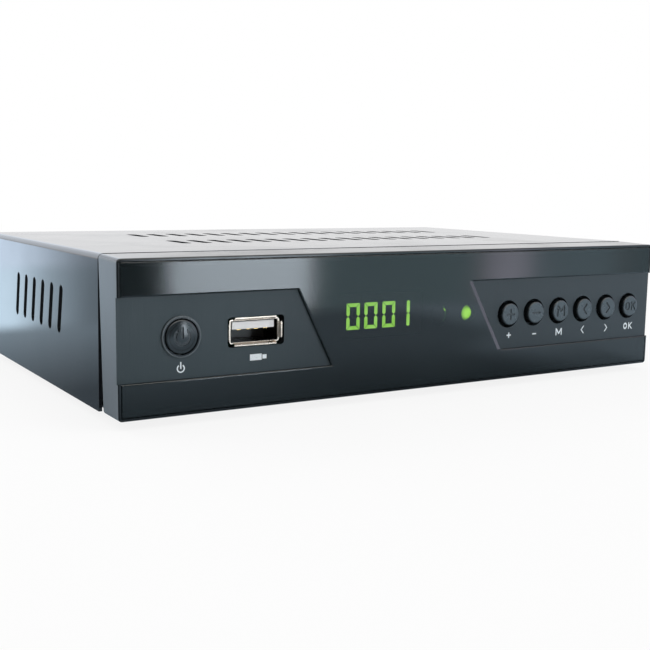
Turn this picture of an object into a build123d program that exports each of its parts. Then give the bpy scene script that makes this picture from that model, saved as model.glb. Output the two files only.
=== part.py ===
from build123d import *
import os
from math import atan2, degrees, hypot

# A small satellite television receiver: painted steel cover and tray, moulded front with a smoked
# window, seven push keys, a front socket for memory sticks, and its boards and rear sockets.
# +X is the receiver's right as seen from the front, +Y runs to the rear, +Z is up. The origin lies on
# the table, at the middle of the outer box. All sizes are in millimetres.

os.makedirs("parts", exist_ok=True)

# ---------------------------------------------------------------- overall sizes
case_width = 168.0
case_depth = 110.0           # front face to the rear face of the cover
front_height = 36.0          # height of the front moulding
cover_rise = 0.4             # the cover stands this far above the moulding's front edge
top_draft = 0.3              # the moulding's top rises this much towards the cover
front_depth = 11.5           # depth of the front moulding's side strip
foot_height = 2.5            # table to the underside of the tray
tray_recess = 0.5            # underside of the tray above the cover's lower edge
sheet = 0.8                  # steel sheet of cover and tray
fit_gap = 0.2                # gap between sheet parts that slide together
socket_gap = 0.2             # gap around a socket in the rear wall

# ---------------------------------------------------------------- front moulding
wall = 2.0                   # side and top walls
floor_wall = 2.6             # bottom wall
face_back = 3.0              # inner face of the front wall, behind the front face
panel_recess = 0.8           # matte panels behind the front face
window_thick = 1.6
window_gap = 0.05            # around and behind the window
rim = 0.7                    # moulding left around the window
band_low = 27.5              # lower edge of the glossy top band, above the moulding's lower edge
strip_high = 8.35            # upper edge of the glossy bottom strip
left_panel_top = 45.3        # left panel's length along its top edge
left_panel_bottom = 55.1
right_panel_before = 2.5     # right panel's lower edge beyond the first key's middle
right_panel_slant = 10.8     # its upper edge is this much longer
lip_depth = 3.0              # tongue behind the moulding that the cover slides over
seam_top = 0.5               # seam between moulding and cover, at the top
seam_bottom = 1.2            # the seam opens towards the table
seam_lean = 2.0              # the moulding's rear edge is this much further forward at the table
corner_low = 1.0             # rounding of the moulding's lower corners
corner_top = 1.1
face_edge = 0.35             # rounding around the front face
window_edge = 0.4
bevel_wide = 1.4             # bevel along the window's slanted edge beside the keys
bevel_deep = 0.6

# ---------------------------------------------------------------- cover
bend = 1.4                   # outer bend radius
flange_drop = 7.0            # rear flange of the cover
vent_width = 2.8
vent_length = 13.2
vent_count = 18
vent_rows = [(46.7, 2.5, 6.1), (79.9, 5.0, 6.25)]    # depth of each row, shift to the right, pitch
side_vent_count = 6
side_vent_first = 40.75      # depth of the first slot's middle
side_vent_pitch = 7.8
side_vent_height = 12.2
side_vent_lean = 3.05
side_vent_middle = 20.6      # above the moulding's lower edge

# ---------------------------------------------------------------- keys
key_level = 17.87            # above the moulding's lower edge
key_last = 8.25              # last key's middle, from the receiver's right end
key_size = 6.1
key_gap = 0.5                # around a key in its hole
key_web = 2.35               # wall between two key holes
key_proud = 1.05             # key face in front of its panel
key_round = 0.45
key_travel = 0.6
power_across = 15.23
power_level = 18.05
power_size = 7.9
power_gap = 0.25             # around the power button in its hole
ring_width = 0.6             # raised ring around that hole
ring_rise = 0.5
power_edge = 0.6             # rim of the power button in front of its panel
power_crown = 0.5            # doming of the power button
power_travel = 0.8
collar_step = 1.0            # collar radius beyond the key's own
collar_thick = 0.8
stop_gap = 0.1               # collar to the wall's inner face at rest
stem_size = 3.0
mark_depth = 0.15
power_mark_depth = 0.3
power_mark_stroke = 0.7
power_mark_size = 4.2        # ring of the power sign
power_mark_opening = 2.0     # opening at the ring's top
power_mark_line = 2.2        # length of its line
mark_stroke = 0.6
letter_stroke = 0.5
letter_height = 2.6          # letters of the OK key
letter_width = 1.9
letter_shift = 1.2           # letter's middle from the key's middle
sign_arm = 1.25              # half the width of the other signs
sign_tall = 1.35             # half their height
arrow_half = 0.6             # half the width of an arrow
key_mouth = 0.25             # bevel around a key hole

# ---------------------------------------------------------------- front board
board_thick = 1.6
front_board_face = 11.0      # front of the front board, behind the front face
front_board_low = 3.2
front_board_high = 32.8
front_board_gap = 1.5        # to the moulding's side walls
switch_size = 6.0
switch_height = 3.5
plunger_size = 3.4
plunger_proud = 1.5
plunger_gap = 0.06           # running clearance around a plunger
plunger_in = 0.9             # part of the plunger inside its switch at rest
bore_spare = 0.3             # switch's bore beyond the fully pressed plunger
switch_corner = 0.5
front_bosses = [(8.0, 28.4), (54.0, 28.4), (160.0, 28.4), (8.0, 6.1), (160.0, 6.1)]
boss_size = 5.0
front_board_hole = 2.7
lead_wire = 0.5              # thickness of a component's lead

# ---------------------------------------------------------------- display and lights
digit_height = 6.65
digit_width = 3.9
segment = 0.9
segment_gap = 0.12           # from one segment to the next
zero_places = [62.28, 67.64, 73.15]
one_place = 79.3
digit_level = 19.8
display_length = 26.0
display_height = 11.0
display_middle = 70.6
display_face = 2.1           # face of the display module, behind the front face
segment_proud = 0.12
display_corner = 0.4
status_across = 99.05
status_level = 18.76
status_size = 4.4
status_length = 5.3
status_flange = 0.4          # flange beyond the light's body
status_flange_thick = 1.0
status_leads = 2.54          # spacing of the light's leads
light_gap = 0.5              # infrared receiver's dome behind the window
status_gap = 0.15            # status light behind the window
sensor_across = 89.5         # infrared receiver
sensor_size = 5.6
sensor_tall = 6.8
sensor_thick = 2.6
sensor_set = 0.8             # receiver's body behind the wall's inner face
sensor_dome = 2.5            # radius of its dome
sensor_dome_edge = 1.2
sensor_leads = 1.8           # spacing of its leads

# ---------------------------------------------------------------- memory-stick socket
stick_across = 34.35
stick_level = 18.1
stick_inner_width = 12.5
stick_inner_height = 5.12
stick_sheet = 0.3
stick_mouth = 1.7            # mouth of the shell, behind the front face
stick_hole_width = 14.95
stick_hole_height = 7.1
stick_lip_out = 0.5
stick_lip_forward = 0.7
stick_lip_wide = 11.0
stick_lip_tall = 3.8
stick_tongue_width = 11.1
stick_tongue_thick = 1.84
stick_tongue_level = 1.35    # tongue's middle above the socket's
stick_tongue_set = 0.7       # tongue's end inside the mouth
stick_tongue_edge = 0.2
stick_hole_corner = 0.9
stick_corner = 0.25          # inside corners of the shell
stick_floor = 2.2            # thickness of the moulded part behind the tongue
stick_fit = 0.05             # moulded part to shell
stick_contact_places = (-3.5, -1.0, 1.0, 3.5)
stick_contact_width = 1.0
stick_contact_thick = 0.2
stick_contact_set = 0.6      # contacts behind the tongue's end

# ---------------------------------------------------------------- boards
spacer_height = 5.0
spacer_size = 5.0
screw_shank = 2.9
screw_hole = 3.1
main_left = 3.0
main_right = 128.0
main_front = 17.0
rear_room = 3.5              # boards' rear edge to the cover's rear face
supply_left = 131.5
supply_right = 164.5
supply_front = 28.0
main_screws = [(8.0, 22.0), (62.0, 22.0), (123.0, 22.0), (8.0, 66.0), (123.0, 90.0)]
supply_screws = [(136.0, 32.5), (160.0, 32.5), (136.0, 84.0), (160.0, 84.0)]
head_size = 5.4
head_height = 1.9
sheet_liner = 0.4            # insulating sheet under the supply board

# ---------------------------------------------------------------- rear sockets
wall_clear = 0.05            # rear wall of the tray to the cover's flange
press_gap = 0.03             # around parts pressed or screwed together
aerial_reach = 11.0          # threaded sockets beyond the cover's rear face
aerial_size = 9.4            # over the thread
aerial_root = 8.7            # root of the thread, which shows under the nut
aerial_bore = 7.6
aerial_places = [15.0, 33.0]
aerial_up = 7.6              # axis above the main board
aerial_seat = 1.5            # collar inside the tuner can, and its thickness
aerial_seat_step = 1.0       # collar beyond the barrel
aerial_edge = 0.4
aerial_floor = 1.5           # insulator in front of the can's rear wall
aerial_set = 0.8             # insulator inside the barrel's end
aerial_pin = 2.0
aerial_pin_set = 0.3         # contact inside the insulator's end
aerial_pin_bore = 1.0
tuner_gap = 0.1              # tuner can to the rear wall
tuner_left = 5.5
tuner_right = 42.5
tuner_depth = 27.0
tuner_height = 15.0
can_sheet = 0.5
lid_margin = 0.3             # lid beyond the can
lid_holes = (7.0, 18.5, 30.0)
lid_hole_size = 4.0
nut_flats = 11.0
nut_thick = 2.2
nut_gap = 0.3                # nut to the start of the full thread
av_left = 46.5
av_width = 50.0
av_height = 17.0
av_depth = 15.0
av_lift = 0.6                # socket's shell above the board
av_proud = 0.6               # socket beyond the cover's rear face
av_slant = 5.0               # slanted corner
av_foot_inset = 2.0
av_shell = 1.2               # wall outside the plug's slot
av_slot = 1.6                # width of the plug's slot
av_slot_depth = 8.0
av_pitch = 3.8               # spacing of the contacts in a row
av_row = 3.1                 # each row from the socket's middle
av_stagger = 0.95
av_shift = 1.0               # contacts to the right of the socket's middle
av_pin_slot = (1.2, 4.2)
av_pin = (0.5, 3.2)
av_pin_set = 1.0
digital_across = 107.5
digital_width = 15.2
digital_height = 5.7
digital_sheet = 0.4
digital_lift = 0.4           # socket's shell above the board
digital_proud = 0.5          # socket beyond the cover's rear face
digital_depth = 11.5
digital_straight = 3.3       # straight upper part of its sides
digital_slant = 1.6
digital_leg = 2.0
digital_leg_spread = 4.5
digital_floor = 3.0
digital_tongue_width = 11.2
digital_tongue_thick = 1.0
digital_tongue_rise = 0.6    # tongue above the socket's middle
digital_tongue_set = 0.8
coax_across = 121.0
coax_size = 8.3
coax_reach = 8.0
coax_sheet = 0.5
coax_edge = 0.12
coax_body = 10.0             # width and depth of the moulded body, and size of its collar
coax_body_corner = 1.0
coax_set = 1.5               # moulded body inside the rear wall
coax_plug_set = 1.2          # insulator inside the sleeve's end
coax_hole = 3.3
coax_hole_depth = 5.0        # hole into the moulded body
mains_across = 148.0
mains_level = 18.5           # above the cover's lower edge
mains_hole_width = 23.5
mains_hole_height = 14.5
mains_flange = 2.2           # flange beyond the cut-out, all round
mains_flange_thick = 1.6
mains_cavity_width = 16.4
mains_cavity_height = 9.8
mains_cavity_depth = 12.0
mains_floor = 2.0            # wall behind the cavity
mains_fit = 0.15             # inlet to its cut-out
mains_corner = 2.0
mains_flange_corner = 3.0
mains_edge = 0.5
pin_size = 2.4
pin_pitch = 8.6
pin_length = 10.0
pin_point = 0.9
coax_up = 8.0                # axis above the main board

# ---------------------------------------------------------------- parts on the boards, and wiring
# places are (from the left end, behind the front face)
processor_place = (70.0, 52.0)
processor_size = 20.0
processor_height = 1.5
heatsink_size = 22.0
heatsink_base = 2.0
heatsink_height = 8.0
fin_count = 7
fin_thick = 1.0
working_memory_places = [(91.0, 50.0), (91.0, 34.0)]
working_memory_size = (9.0, 13.0, 1.2)
store_place = (60.0, 34.0)
store_size = (8.0, 6.0, 1.6)
tuner_chip_place = (28.0, 46.0)
tuner_chip_size = (10.0, 7.0, 1.6)
chip_edge = 0.15             # bevel of a chip's top, as a share of its height
# capacitor cans: from the left end, behind the front face, radius, height
capacitor_cans = [(44, 66, 3.2, 11), (53, 68, 3.2, 11), (101, 64, 4, 12), (112, 66, 4, 12),
                  (112, 36, 4, 12), (20, 34, 3.2, 9), (148, 43, 8, 24), (138.5, 58, 4, 15),
                  (148, 57, 3.2, 12)]
can_rounding = 0.5
can_groove_up = 1.6          # rolled groove above the board
can_groove_out = 0.25        # middle of the groove's roll outside the can
can_groove_size = 0.55
transformer_place = (148.0, 72.0)
core_width = 22.0
core_height = 18.5
core_thick = 7.0
core_limb = 3.0              # width of the core's limbs
core_lift = 2.5              # core above the board
winding_length = 18.0
winding_gap = 0.3            # winding to core
winding_rounding = 2.0
bobbin_foot_length = 4.4
bobbin_foot_out = 1.3        # foot beyond the winding's sides
bobbin_foot_inset = 2.0      # foot's middle from the winding's end
bobbin_foot_over = 1.2       # foot's top above the winding's underside
choke_place = (158.5, 55.5)
choke_width = 10.0
choke_length = 13.0
choke_height = 15.0
choke_corner = 1.0
choke_edge = 0.8
fuse_depth = 91.0
fuse_up = 4.2                # fuse's axis above the board
fuse_length = 20.0
fuse_size = 5.2
fuse_cap = 5.0
fuse_cap_sheet = 0.2
fuse_clip_inset = 1.0        # clip inside the ends of its cap
liner_margin = 2.0           # insulating sheet beyond the supply board
liner_turn_up = 20.0
liner_hole_gap = 0.6
liner_side_gap = 0.1         # to the tray's side
liner_rear_gap = 0.3         # to the tray's rear wall
ribbon_across = 84.0
ribbon_level = 24.0          # ribbon's upper plug above the moulding's lower edge
ribbon_end = 24.0            # ribbon's lower plug, behind the front face
ribbon_width = 15.0
ribbon_thick = 0.8
ribbon_bend = 7.5
plug_height = 5.0
plug_depth = 3.0
plug_margin = 1.5            # ribbon's plug beyond the ribbon's edge
lead_depth = 45.0            # supply lead, behind the front face
lead_size = 3.2
lead_inset = 3.5             # lead's plug from the supply board's edge
lead_rise = 9.0              # top of the lead above its plugs
lead_bend = 6.0

# ---------------------------------------------------------------- fixings
pilot = 2.2                  # pilot hole for a screw into plastic
thin_head = 1.5              # height of a plastic screw's head
thin_head_size = 4.8
thread_gap = 0.05            # shank to hole
recess_width = 0.7           # arm of a screw's cross recess
recess_reach = 1.1           # recess across the head, as a share of the head's radius
head_rounding = 0.45         # rounding of a screw's head, as a share of its height
spacer_grip = 0.8            # share of a spacer's height that its screw fills
boss_screw_grip = 4.4        # length of a screw in its boss
lug_screw_grip = 3.4
cover_screw_length = 4.5
lug_spread = 45.0            # lugs under the front moulding, from the middle
lug_back = 4.0               # lugs behind the moulding's side strip
lug_size = 5.8
lug_gap = 0.4                # lug's top below the main board
lug_end = 0.5                # lug's end above its pilot hole
foot_size = 12.0
foot_inset = 17.0            # foot's middle from the receiver's side
foot_depths = (24.0, 97.0)
tray_flange = 8.0
tray_flange_set = 1.5        # flange's front end behind the moulding's lip
tray_bend = 0.9              # outer bend radius, as a share of the sheet
tray_vent_shift = -17.5      # middle of the tray's vents, to the right
cover_screw_places = (-62.0, 0.0, 62.0)
cover_screw_drop = 4.0       # screw's axis below the cover's top
through = 1.0                # a cutter passes this far beyond its part

# ---------------------------------------------------------------- worked-out places
half_width = case_width / 2
base_z = foot_height - tray_recess             # lower edge of moulding and cover
cover_top = base_z + front_height + cover_rise
tray_top = foot_height + sheet
board_low = tray_top + spacer_height
board_top = board_low + board_thick
dome_front = power_edge + power_crown - panel_recess     # foremost point, in front of the face
front_y = -(case_depth + aerial_reach - dome_front) / 2
lip_gap = sheet + fit_gap                      # from the moulding's outside to its lip
rear_outer = case_depth - sheet - wall_clear   # outer face of the tray's rear wall
rear_inner = rear_outer - sheet
main_rear = case_depth - rear_room
key_names = ["plus", "minus", "menu", "left", "right", "ok"]
key_hole = key_size + 2 * key_gap
key_pitch = key_hole + key_web
key_row = (len(key_names) - 1) * key_pitch
key_places = [case_width - key_last - key_row + i * key_pitch for i in range(len(key_names))]
right_panel_bottom = key_last + key_row + right_panel_before
right_panel_top = right_panel_bottom + right_panel_slant
power_hole = power_size + 2 * power_gap
power_ring = power_hole + 2 * ring_width


def across(distance):
    """X of a point, from its distance to the receiver's left end."""
    return distance - half_width


def back(distance):
    """Y of a point, from its distance behind the front face."""
    return front_y + distance


def up(height):
    """Z of a point, from its height above the moulding's lower edge."""
    return base_z + height


def block(x0, x1, y0, y1, z0, z1):
    """Box between two corners."""
    middle = Pos((x0 + x1) / 2, (y0 + y1) / 2, (z0 + z1) / 2)
    return middle * Box(x1 - x0, y1 - y0, z1 - z0)


def post(x, y, z0, z1, radius):
    """Upright cylinder."""
    return Pos(x, y, (z0 + z1) / 2) * Cylinder(radius, z1 - z0)


def bar(x, z, y0, y1, radius):
    """Cylinder that runs from front to rear."""
    return Pos(x, (y0 + y1) / 2, z) * Rot(X=90) * Cylinder(radius, y1 - y0)


def front_slab(sketch, y0, y1):
    """Solid from an outline drawn in X and Z, between two depths."""
    plane = Plane(origin=(0, y1, 0), x_dir=(1, 0, 0), z_dir=(0, -1, 0))
    return extrude(plane * sketch, amount=y1 - y0)


def outline(points):
    """Face inside a closed run of straight edges."""
    return make_face(Polyline(*points, close=True))


def stroke(points, width):
    """Flat line with round ends through the points."""
    mark = Sketch()
    for (x0, z0), (x1, z1) in zip(points, points[1:]):
        length = hypot(x1 - x0, z1 - z0)
        turn = degrees(atan2(z1 - z0, x1 - x0))
        mark += Pos((x0 + x1) / 2, (z0 + z1) / 2) * Rot(Z=turn) * SlotCenterToCenter(length, width)
    return mark


def round_front(shape, radius):
    """Shape with the edges of its foremost flat face rounded."""
    face = shape.faces().sort_by(Axis.Y)[0]
    return fillet(face.edges(), radius)


# ---------------------------------------------------------------- housing
def moulding_block():
    """Outside of the front moulding: its top rises towards the cover, and its rear edge leans."""
    high = up(front_height + top_draft)
    shape = Pos(0, (base_z + high) / 2) * Rectangle(case_width, high - base_z)
    shape = fillet(shape.vertices().sort_by(Axis.Y)[:2], corner_low)
    body = front_slab(shape, back(0), back(front_depth))
    above = outline([(back(-through), up(front_height)), (back(0), up(front_height)),
                     (back(front_depth), high), (back(front_depth), high + through),
                     (back(-through), high + through)])
    body -= extrude(Plane.YZ * above, amount=case_width, both=True)
    ends = body.edges().filter_by(lambda edge: abs(edge.tangent_at(0.5).Y) > 0.9)
    body = fillet(ends.sort_by(Axis.Z)[-2:], corner_top)
    body = round_front(body, face_edge)
    behind = outline([(back(front_depth), high + through), (back(front_depth), high),
                      (back(front_depth - seam_lean), base_z),
                      (back(front_depth - seam_lean), base_z - through),
                      (back(front_depth + through), base_z - through),
                      (back(front_depth + through), high + through)])
    return body - extrude(Plane.YZ * behind, amount=case_width, both=True)


def panel_outlines():
    """Outlines of the two matte panels, left and right, out to the receiver's ends."""
    low = up(strip_high)
    high = up(band_low)
    left = outline([(-half_width, high), (across(left_panel_top), high),
                    (across(left_panel_bottom), low), (-half_width, low)])
    right = outline([(half_width, high), (half_width - right_panel_top, high),
                     (half_width - right_panel_bottom, low), (half_width, low)])
    return left, right


def window_outline(grow):
    """Glossy window: top band, slanted middle and bottom strip, grown by a gap."""
    side = half_width - rim + grow
    top = up(front_height - rim) + grow
    bottom = up(rim) - grow
    high = up(band_low)
    low = up(strip_high)
    left_high = across(left_panel_top)
    left_low = across(left_panel_bottom)
    right_high = half_width - right_panel_top
    right_low = half_width - right_panel_bottom
    return outline([(-side, top), (side, top), (side, high), (right_high, high),
                    (right_low, low), (side, low), (side, bottom), (-side, bottom),
                    (-side, low), (left_low, low), (left_high, high), (-side, high)])


def front_bezel():
    body = moulding_block()
    cavity_low = up(floor_wall)
    cavity_high = up(front_height - wall)
    cavity_side = half_width - wall
    lip_top = cover_top - lip_gap
    lip_side = half_width - lip_gap
    lip = block(-lip_side, lip_side, back(front_depth - seam_lean - wall),
                back(front_depth + lip_depth), tray_top, lip_top)
    lug_y = back(front_depth + lug_back)
    lug_top = board_low - lug_gap
    for side in (-1, 1):
        lip += post(side * lug_spread, lug_y, tray_top, lug_top, lug_size / 2)
    inside = block(-cavity_side, cavity_side, back(face_back), back(front_depth + lip_depth),
                   cavity_low, cavity_high)
    for side in (-1, 1):
        inside -= post(side * lug_spread, lug_y, cavity_low, lug_top, lug_size / 2)
    body = body + lip - inside
    for panel in panel_outlines():
        body -= front_slab(panel, back(-through), back(panel_recess))
    window_seat = window_outline(window_gap)
    body -= front_slab(window_seat, back(-through), back(window_thick + window_gap))
    ring = bar(across(power_across), up(power_level), back(panel_recess - ring_rise),
               back(panel_recess + ring_rise), power_ring / 2)
    body += round_front(ring, ring_rise / 3)
    for x, z in front_bosses:
        body += bar(across(x), up(z), back(face_back), back(front_board_face), boss_size / 2)
    for cut in front_openings():
        body -= cut
    for side in (-1, 1):
        body -= post(side * lug_spread, lug_y, tray_top - through, lug_top - lug_end, pilot / 2)
    return body


def front_openings():
    """Cutters for everything that passes through the moulding's front wall."""
    start = back(-through)
    end = back(face_back + through)
    cuts = [bar(across(power_across), up(power_level), start, end, power_hole / 2)]
    for x in key_places:
        cuts.append(bar(across(x), up(key_level), start, end, key_hole / 2))
        mouth = Pos(across(x), back(panel_recess) + key_mouth / 2, up(key_level))
        cuts.append(mouth * Rot(X=90) * Cone(key_hole / 2, key_hole / 2 + key_mouth, key_mouth))
    hole = RectangleRounded(stick_hole_width, stick_hole_height, stick_hole_corner)
    cuts.append(front_slab(Pos(across(stick_across), up(stick_level)) * hole, start, end))
    display = Rectangle(display_length + 2 * socket_gap, display_height + 2 * socket_gap)
    display = Pos(across(display_middle), up(digit_level)) * display
    cuts.append(front_slab(display, back(window_thick), end))
    for place, size in ((status_across, status_size), (sensor_across, sensor_size)):
        cuts.append(bar(across(place), up(status_level), back(window_thick), end,
                        size / 2 + socket_gap))
    for x, z in front_bosses:
        cuts.append(bar(across(x), up(z), end, back(front_board_face + through), pilot / 2))
    return cuts


def front_window():
    plate = front_slab(window_outline(0), back(0), back(window_thick))
    return round_front(plate, window_edge) - slanted_bevel()


def slanted_bevel():
    """Cutter for the bevel along the window's slanted edge beside the keys."""
    low = up(strip_high)
    high = up(band_low)
    x_low = half_width - right_panel_bottom
    x_high = half_width - right_panel_top
    along = Vector(x_high - x_low, 0, high - low).normalized()
    outward = Vector(along.Z, 0, -along.X)
    facing = outward * bevel_deep - Vector(0, bevel_wide, 0)
    inset = bevel_wide / outward.X
    beside = outline([(x_low - inset, low), (x_low + through, low), (x_high + through, high),
                      (x_high - inset, high)])
    start = Vector(x_low - inset, back(0), low)
    front = Plane(origin=start, x_dir=along, z_dir=facing) * Box(
        case_width, case_width, 2 * through, align=(Align.CENTER, Align.CENTER, Align.MIN))
    return front_slab(beside, back(-through), back(bevel_deep + through)) & front


def top_cover():
    height = cover_top - base_z
    outer = Pos(0, base_z + height / 2) * Rectangle(case_width, height)
    outer = fillet(outer.vertices().sort_by(Axis.Y)[-2:], bend)
    inner = Pos(0, base_z + height / 2 - sheet) * Rectangle(case_width - 2 * sheet, height)
    inner = fillet(inner.vertices().sort_by(Axis.Y)[-2:], bend - sheet)
    start = back(front_depth + seam_top)
    body = front_slab(outer - inner, start, back(case_depth))
    rear = Pos(0, cover_top - flange_drop / 2 - sheet / 2) * Rectangle(
        case_width - 2 * sheet, flange_drop - sheet)
    body += front_slab(rear, back(case_depth - sheet), back(case_depth))
    taper = Plane.YZ * outline([(start, cover_top - bend), (start, base_z),
                                (back(front_depth + seam_bottom), base_z)])
    body -= extrude(taper, amount=case_width, both=True)
    slots = Sketch()
    for depth, shift, pitch in vent_rows:
        for i in range(vent_count):
            x = shift + (i - (vent_count - 1) / 2) * pitch
            slots += Pos(x, back(depth)) * SlotOverall(vent_length, vent_width, rotation=90)
    body -= extrude(Pos(0, 0, cover_top - 2 * sheet) * slots, amount=4 * sheet)
    lean = degrees(atan2(side_vent_height, -side_vent_lean))
    slot_length = hypot(side_vent_height, side_vent_lean)
    side_slots = Sketch()
    for i in range(side_vent_count):
        place = Pos(back(side_vent_first + i * side_vent_pitch), up(side_vent_middle))
        side_slots += place * SlotOverall(slot_length, vent_width, rotation=lean)
    body -= extrude(Plane.YZ * side_slots, amount=case_width, both=True)
    for x in cover_screw_places:
        body -= bar(x, cover_top - cover_screw_drop, back(case_depth - sheet - through),
                    back(case_depth + through), screw_hole / 2)
    return body


def base_tray():
    side = half_width - lip_gap
    front_edge = back(front_depth - seam_lean + fit_gap)
    body = block(-side, side, front_edge, back(rear_outer), foot_height, tray_top)
    flange_start = back(front_depth + lip_depth + tray_flange_set)
    for sign in (-1, 1):
        edge = sorted([sign * side, sign * (side - sheet)])
        body += block(edge[0], edge[1], flange_start, back(rear_outer), foot_height,
                      foot_height + tray_flange)
    wall_top = cover_top - sheet - fit_gap
    body += block(-side, side, back(rear_inner), back(rear_outer), foot_height, wall_top)
    low_edges = body.edges().filter_by(Axis.Y).filter_by_position(
        Axis.Z, foot_height - 0.01, foot_height + 0.01)
    body = fillet(low_edges, tray_bend * sheet)
    for cut in rear_openings():
        body -= cut
    slots = Sketch()
    for depth, shift, pitch in vent_rows:
        for i in range(vent_count // 2):
            x = shift + (i - (vent_count // 2 - 1) / 2) * pitch
            place = Pos(x + tray_vent_shift, back(depth))
            slots += place * SlotOverall(vent_length, vent_width, rotation=90)
    body -= extrude(Pos(0, 0, foot_height - through) * slots, amount=sheet + 2 * through)
    for sign in (-1, 1):
        body -= post(sign * lug_spread, back(front_depth + lug_back), foot_height - through,
                     tray_top + through, screw_shank / 2)
    return body


def rear_openings():
    """Cutters for everything that passes through the tray's rear wall."""
    start = back(rear_inner - through)
    end = back(rear_outer + through)
    cuts = []
    for x in aerial_places:
        cuts.append(bar(across(x), board_top + aerial_up, start, end, aerial_root / 2 + socket_gap))
    cuts.append(front_slab(av_outline(socket_gap), start, end))
    cuts.append(front_slab(digital_outline(socket_gap), start, end))
    cuts.append(bar(across(coax_across), board_top + coax_up, start, end, coax_body / 2 + socket_gap))
    mains = Pos(across(mains_across), up(mains_level)) * RectangleRounded(
        mains_hole_width, mains_hole_height, mains_corner)
    cuts.append(front_slab(mains, start, end))
    for x in cover_screw_places:
        cuts.append(bar(x, cover_top - cover_screw_drop, start, end, screw_shank / 2))
    return cuts


def rubber_feet():
    feet = []
    for sx in (-1, 1):
        for depth in foot_depths:
            foot = post(sx * (half_width - foot_inset), back(depth), 0, foot_height, foot_size / 2)
            rim_edge = foot.edges().sort_by(Axis.Z)[0]
            feet.append(fillet(rim_edge, foot_height / 4))
    return Compound(children=feet)


# ---------------------------------------------------------------- keys and switches
def key_marks():
    """Engraved sign of each key, drawn about the key's middle."""
    arm = sign_arm
    tall = sign_tall
    plus = stroke([(-arm, 0), (arm, 0)], mark_stroke) + stroke([(0, -arm), (0, arm)], mark_stroke)
    minus = stroke([(-arm, 0), (arm, 0)], mark_stroke)
    menu = stroke([(-arm, -tall), (-arm, tall), (0, 0), (arm, tall), (arm, -tall)], mark_stroke)
    left = stroke([(arrow_half, tall), (-arrow_half, 0), (arrow_half, -tall)], mark_stroke)
    right = stroke([(-arrow_half, tall), (arrow_half, 0), (-arrow_half, -tall)], mark_stroke)
    letter_o = SlotOverall(letter_height, letter_width, rotation=90)
    letter_o -= SlotOverall(letter_height - 2 * letter_stroke, letter_width - 2 * letter_stroke,
                            rotation=90)
    high = (letter_height - letter_stroke) / 2
    half = (letter_width - letter_stroke) / 2
    letter_k = stroke([(-half, -high), (-half, high)], letter_stroke)
    letter_k += stroke([(-half, 0), (half, high)], letter_stroke)
    letter_k += stroke([(-half / 3, high / 4), (half, -high)], letter_stroke)
    ok = Pos(-letter_shift, 0) * letter_o + Pos(letter_shift, 0) * letter_k
    return {"plus": plus, "minus": minus, "menu": menu, "left": left, "right": right, "ok": ok}


def key_cap(x, z, size, proud, mark):
    """Round key with its collar behind the wall and its stem down to the switch."""
    face_y = back(panel_recess - proud)
    collar_y = back(face_back + stop_gap)
    head = round_front(bar(x, z, face_y, collar_y + collar_thick, size / 2), key_round)
    collar = bar(x, z, collar_y, collar_y + collar_thick, size / 2 + collar_step)
    stem = bar(x, z, collar_y, plunger_front(), stem_size / 2)
    sign = front_slab(Pos(x, z) * mark, face_y - through, face_y + mark_depth)
    return head + collar + stem - sign


def power_button():
    x = across(power_across)
    z = up(power_level)
    edge_y = back(panel_recess - power_edge)
    radius = power_size / 2
    ball = (radius ** 2 + power_crown ** 2) / (2 * power_crown)
    collar_y = back(face_back + stop_gap)
    top_y = edge_y - power_crown
    half_y = top_y + ball - (ball ** 2 - (radius / 2) ** 2) ** 0.5
    crown = ThreePointArc((0, top_y), (radius / 2, half_y), (radius, edge_y))
    end_y = collar_y + collar_thick
    rest = Polyline((radius, edge_y), (radius, end_y), (0, end_y), (0, top_y))
    head = Pos(x, 0, z) * revolve(make_face(crown + rest), Axis.Y)
    rings = head.edges().filter_by(lambda edge: edge.is_closed)
    head = fillet(rings.sort_by(Axis.Y)[0], key_round)
    collar = bar(x, z, collar_y, end_y, radius + collar_step)
    stem = bar(x, z, collar_y, plunger_front(), stem_size / 2)
    outer = power_mark_size / 2
    arc_ring = Circle(outer) - Circle(outer - power_mark_stroke)
    arc_ring -= Pos(0, outer) * Rectangle(power_mark_opening, outer)
    sign = arc_ring + stroke([(0, outer - power_mark_line), (0, outer)], mark_stroke)
    sign = Pos(x, z) * sign
    cut = front_slab(sign, top_y - through, top_y + power_mark_depth)
    return head + collar + stem - cut


def plunger_front():
    """Y of a switch plunger's front end at rest."""
    return back(front_board_face - switch_height - plunger_proud)


def switch_places():
    """Middle of each switch, the power switch first."""
    places = [(across(power_across), up(power_level))]
    places += [(across(x), up(key_level)) for x in key_places]
    return places


def switch_plunger(x, z):
    y = plunger_front()
    return bar(x, z, y, y + plunger_proud + plunger_in, plunger_size / 2)


def switch_bodies():
    bodies = []
    face = back(front_board_face - switch_height)
    bore_depth = plunger_in + max(key_travel, power_travel) + bore_spare
    for x, z in switch_places():
        half = switch_size / 2
        body = block(x - half, x + half, face, back(front_board_face), z - half, z + half)
        body = fillet(body.edges().filter_by(Axis.Y), switch_corner)
        body -= bar(x, z, face - through, face + bore_depth, plunger_size / 2 + plunger_gap)
        bodies.append(body)
    return Compound(children=bodies)


# ---------------------------------------------------------------- front board and what it carries
def front_board():
    side = half_width - wall - front_board_gap
    board = block(-side, side, back(front_board_face), back(front_board_face + board_thick),
                  up(front_board_low), up(front_board_high))
    for x, z in front_bosses:
        board -= bar(across(x), up(z), back(front_board_face - through),
                     back(front_board_face + board_thick + through), front_board_hole / 2)
    return board


def display_housing():
    half = display_length / 2
    x = across(display_middle)
    z = up(digit_level)
    body = block(x - half, x + half, back(display_face), back(front_board_face),
                 z - display_height / 2, z + display_height / 2)
    return fillet(body.edges().filter_by(Axis.Y), display_corner)


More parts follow.
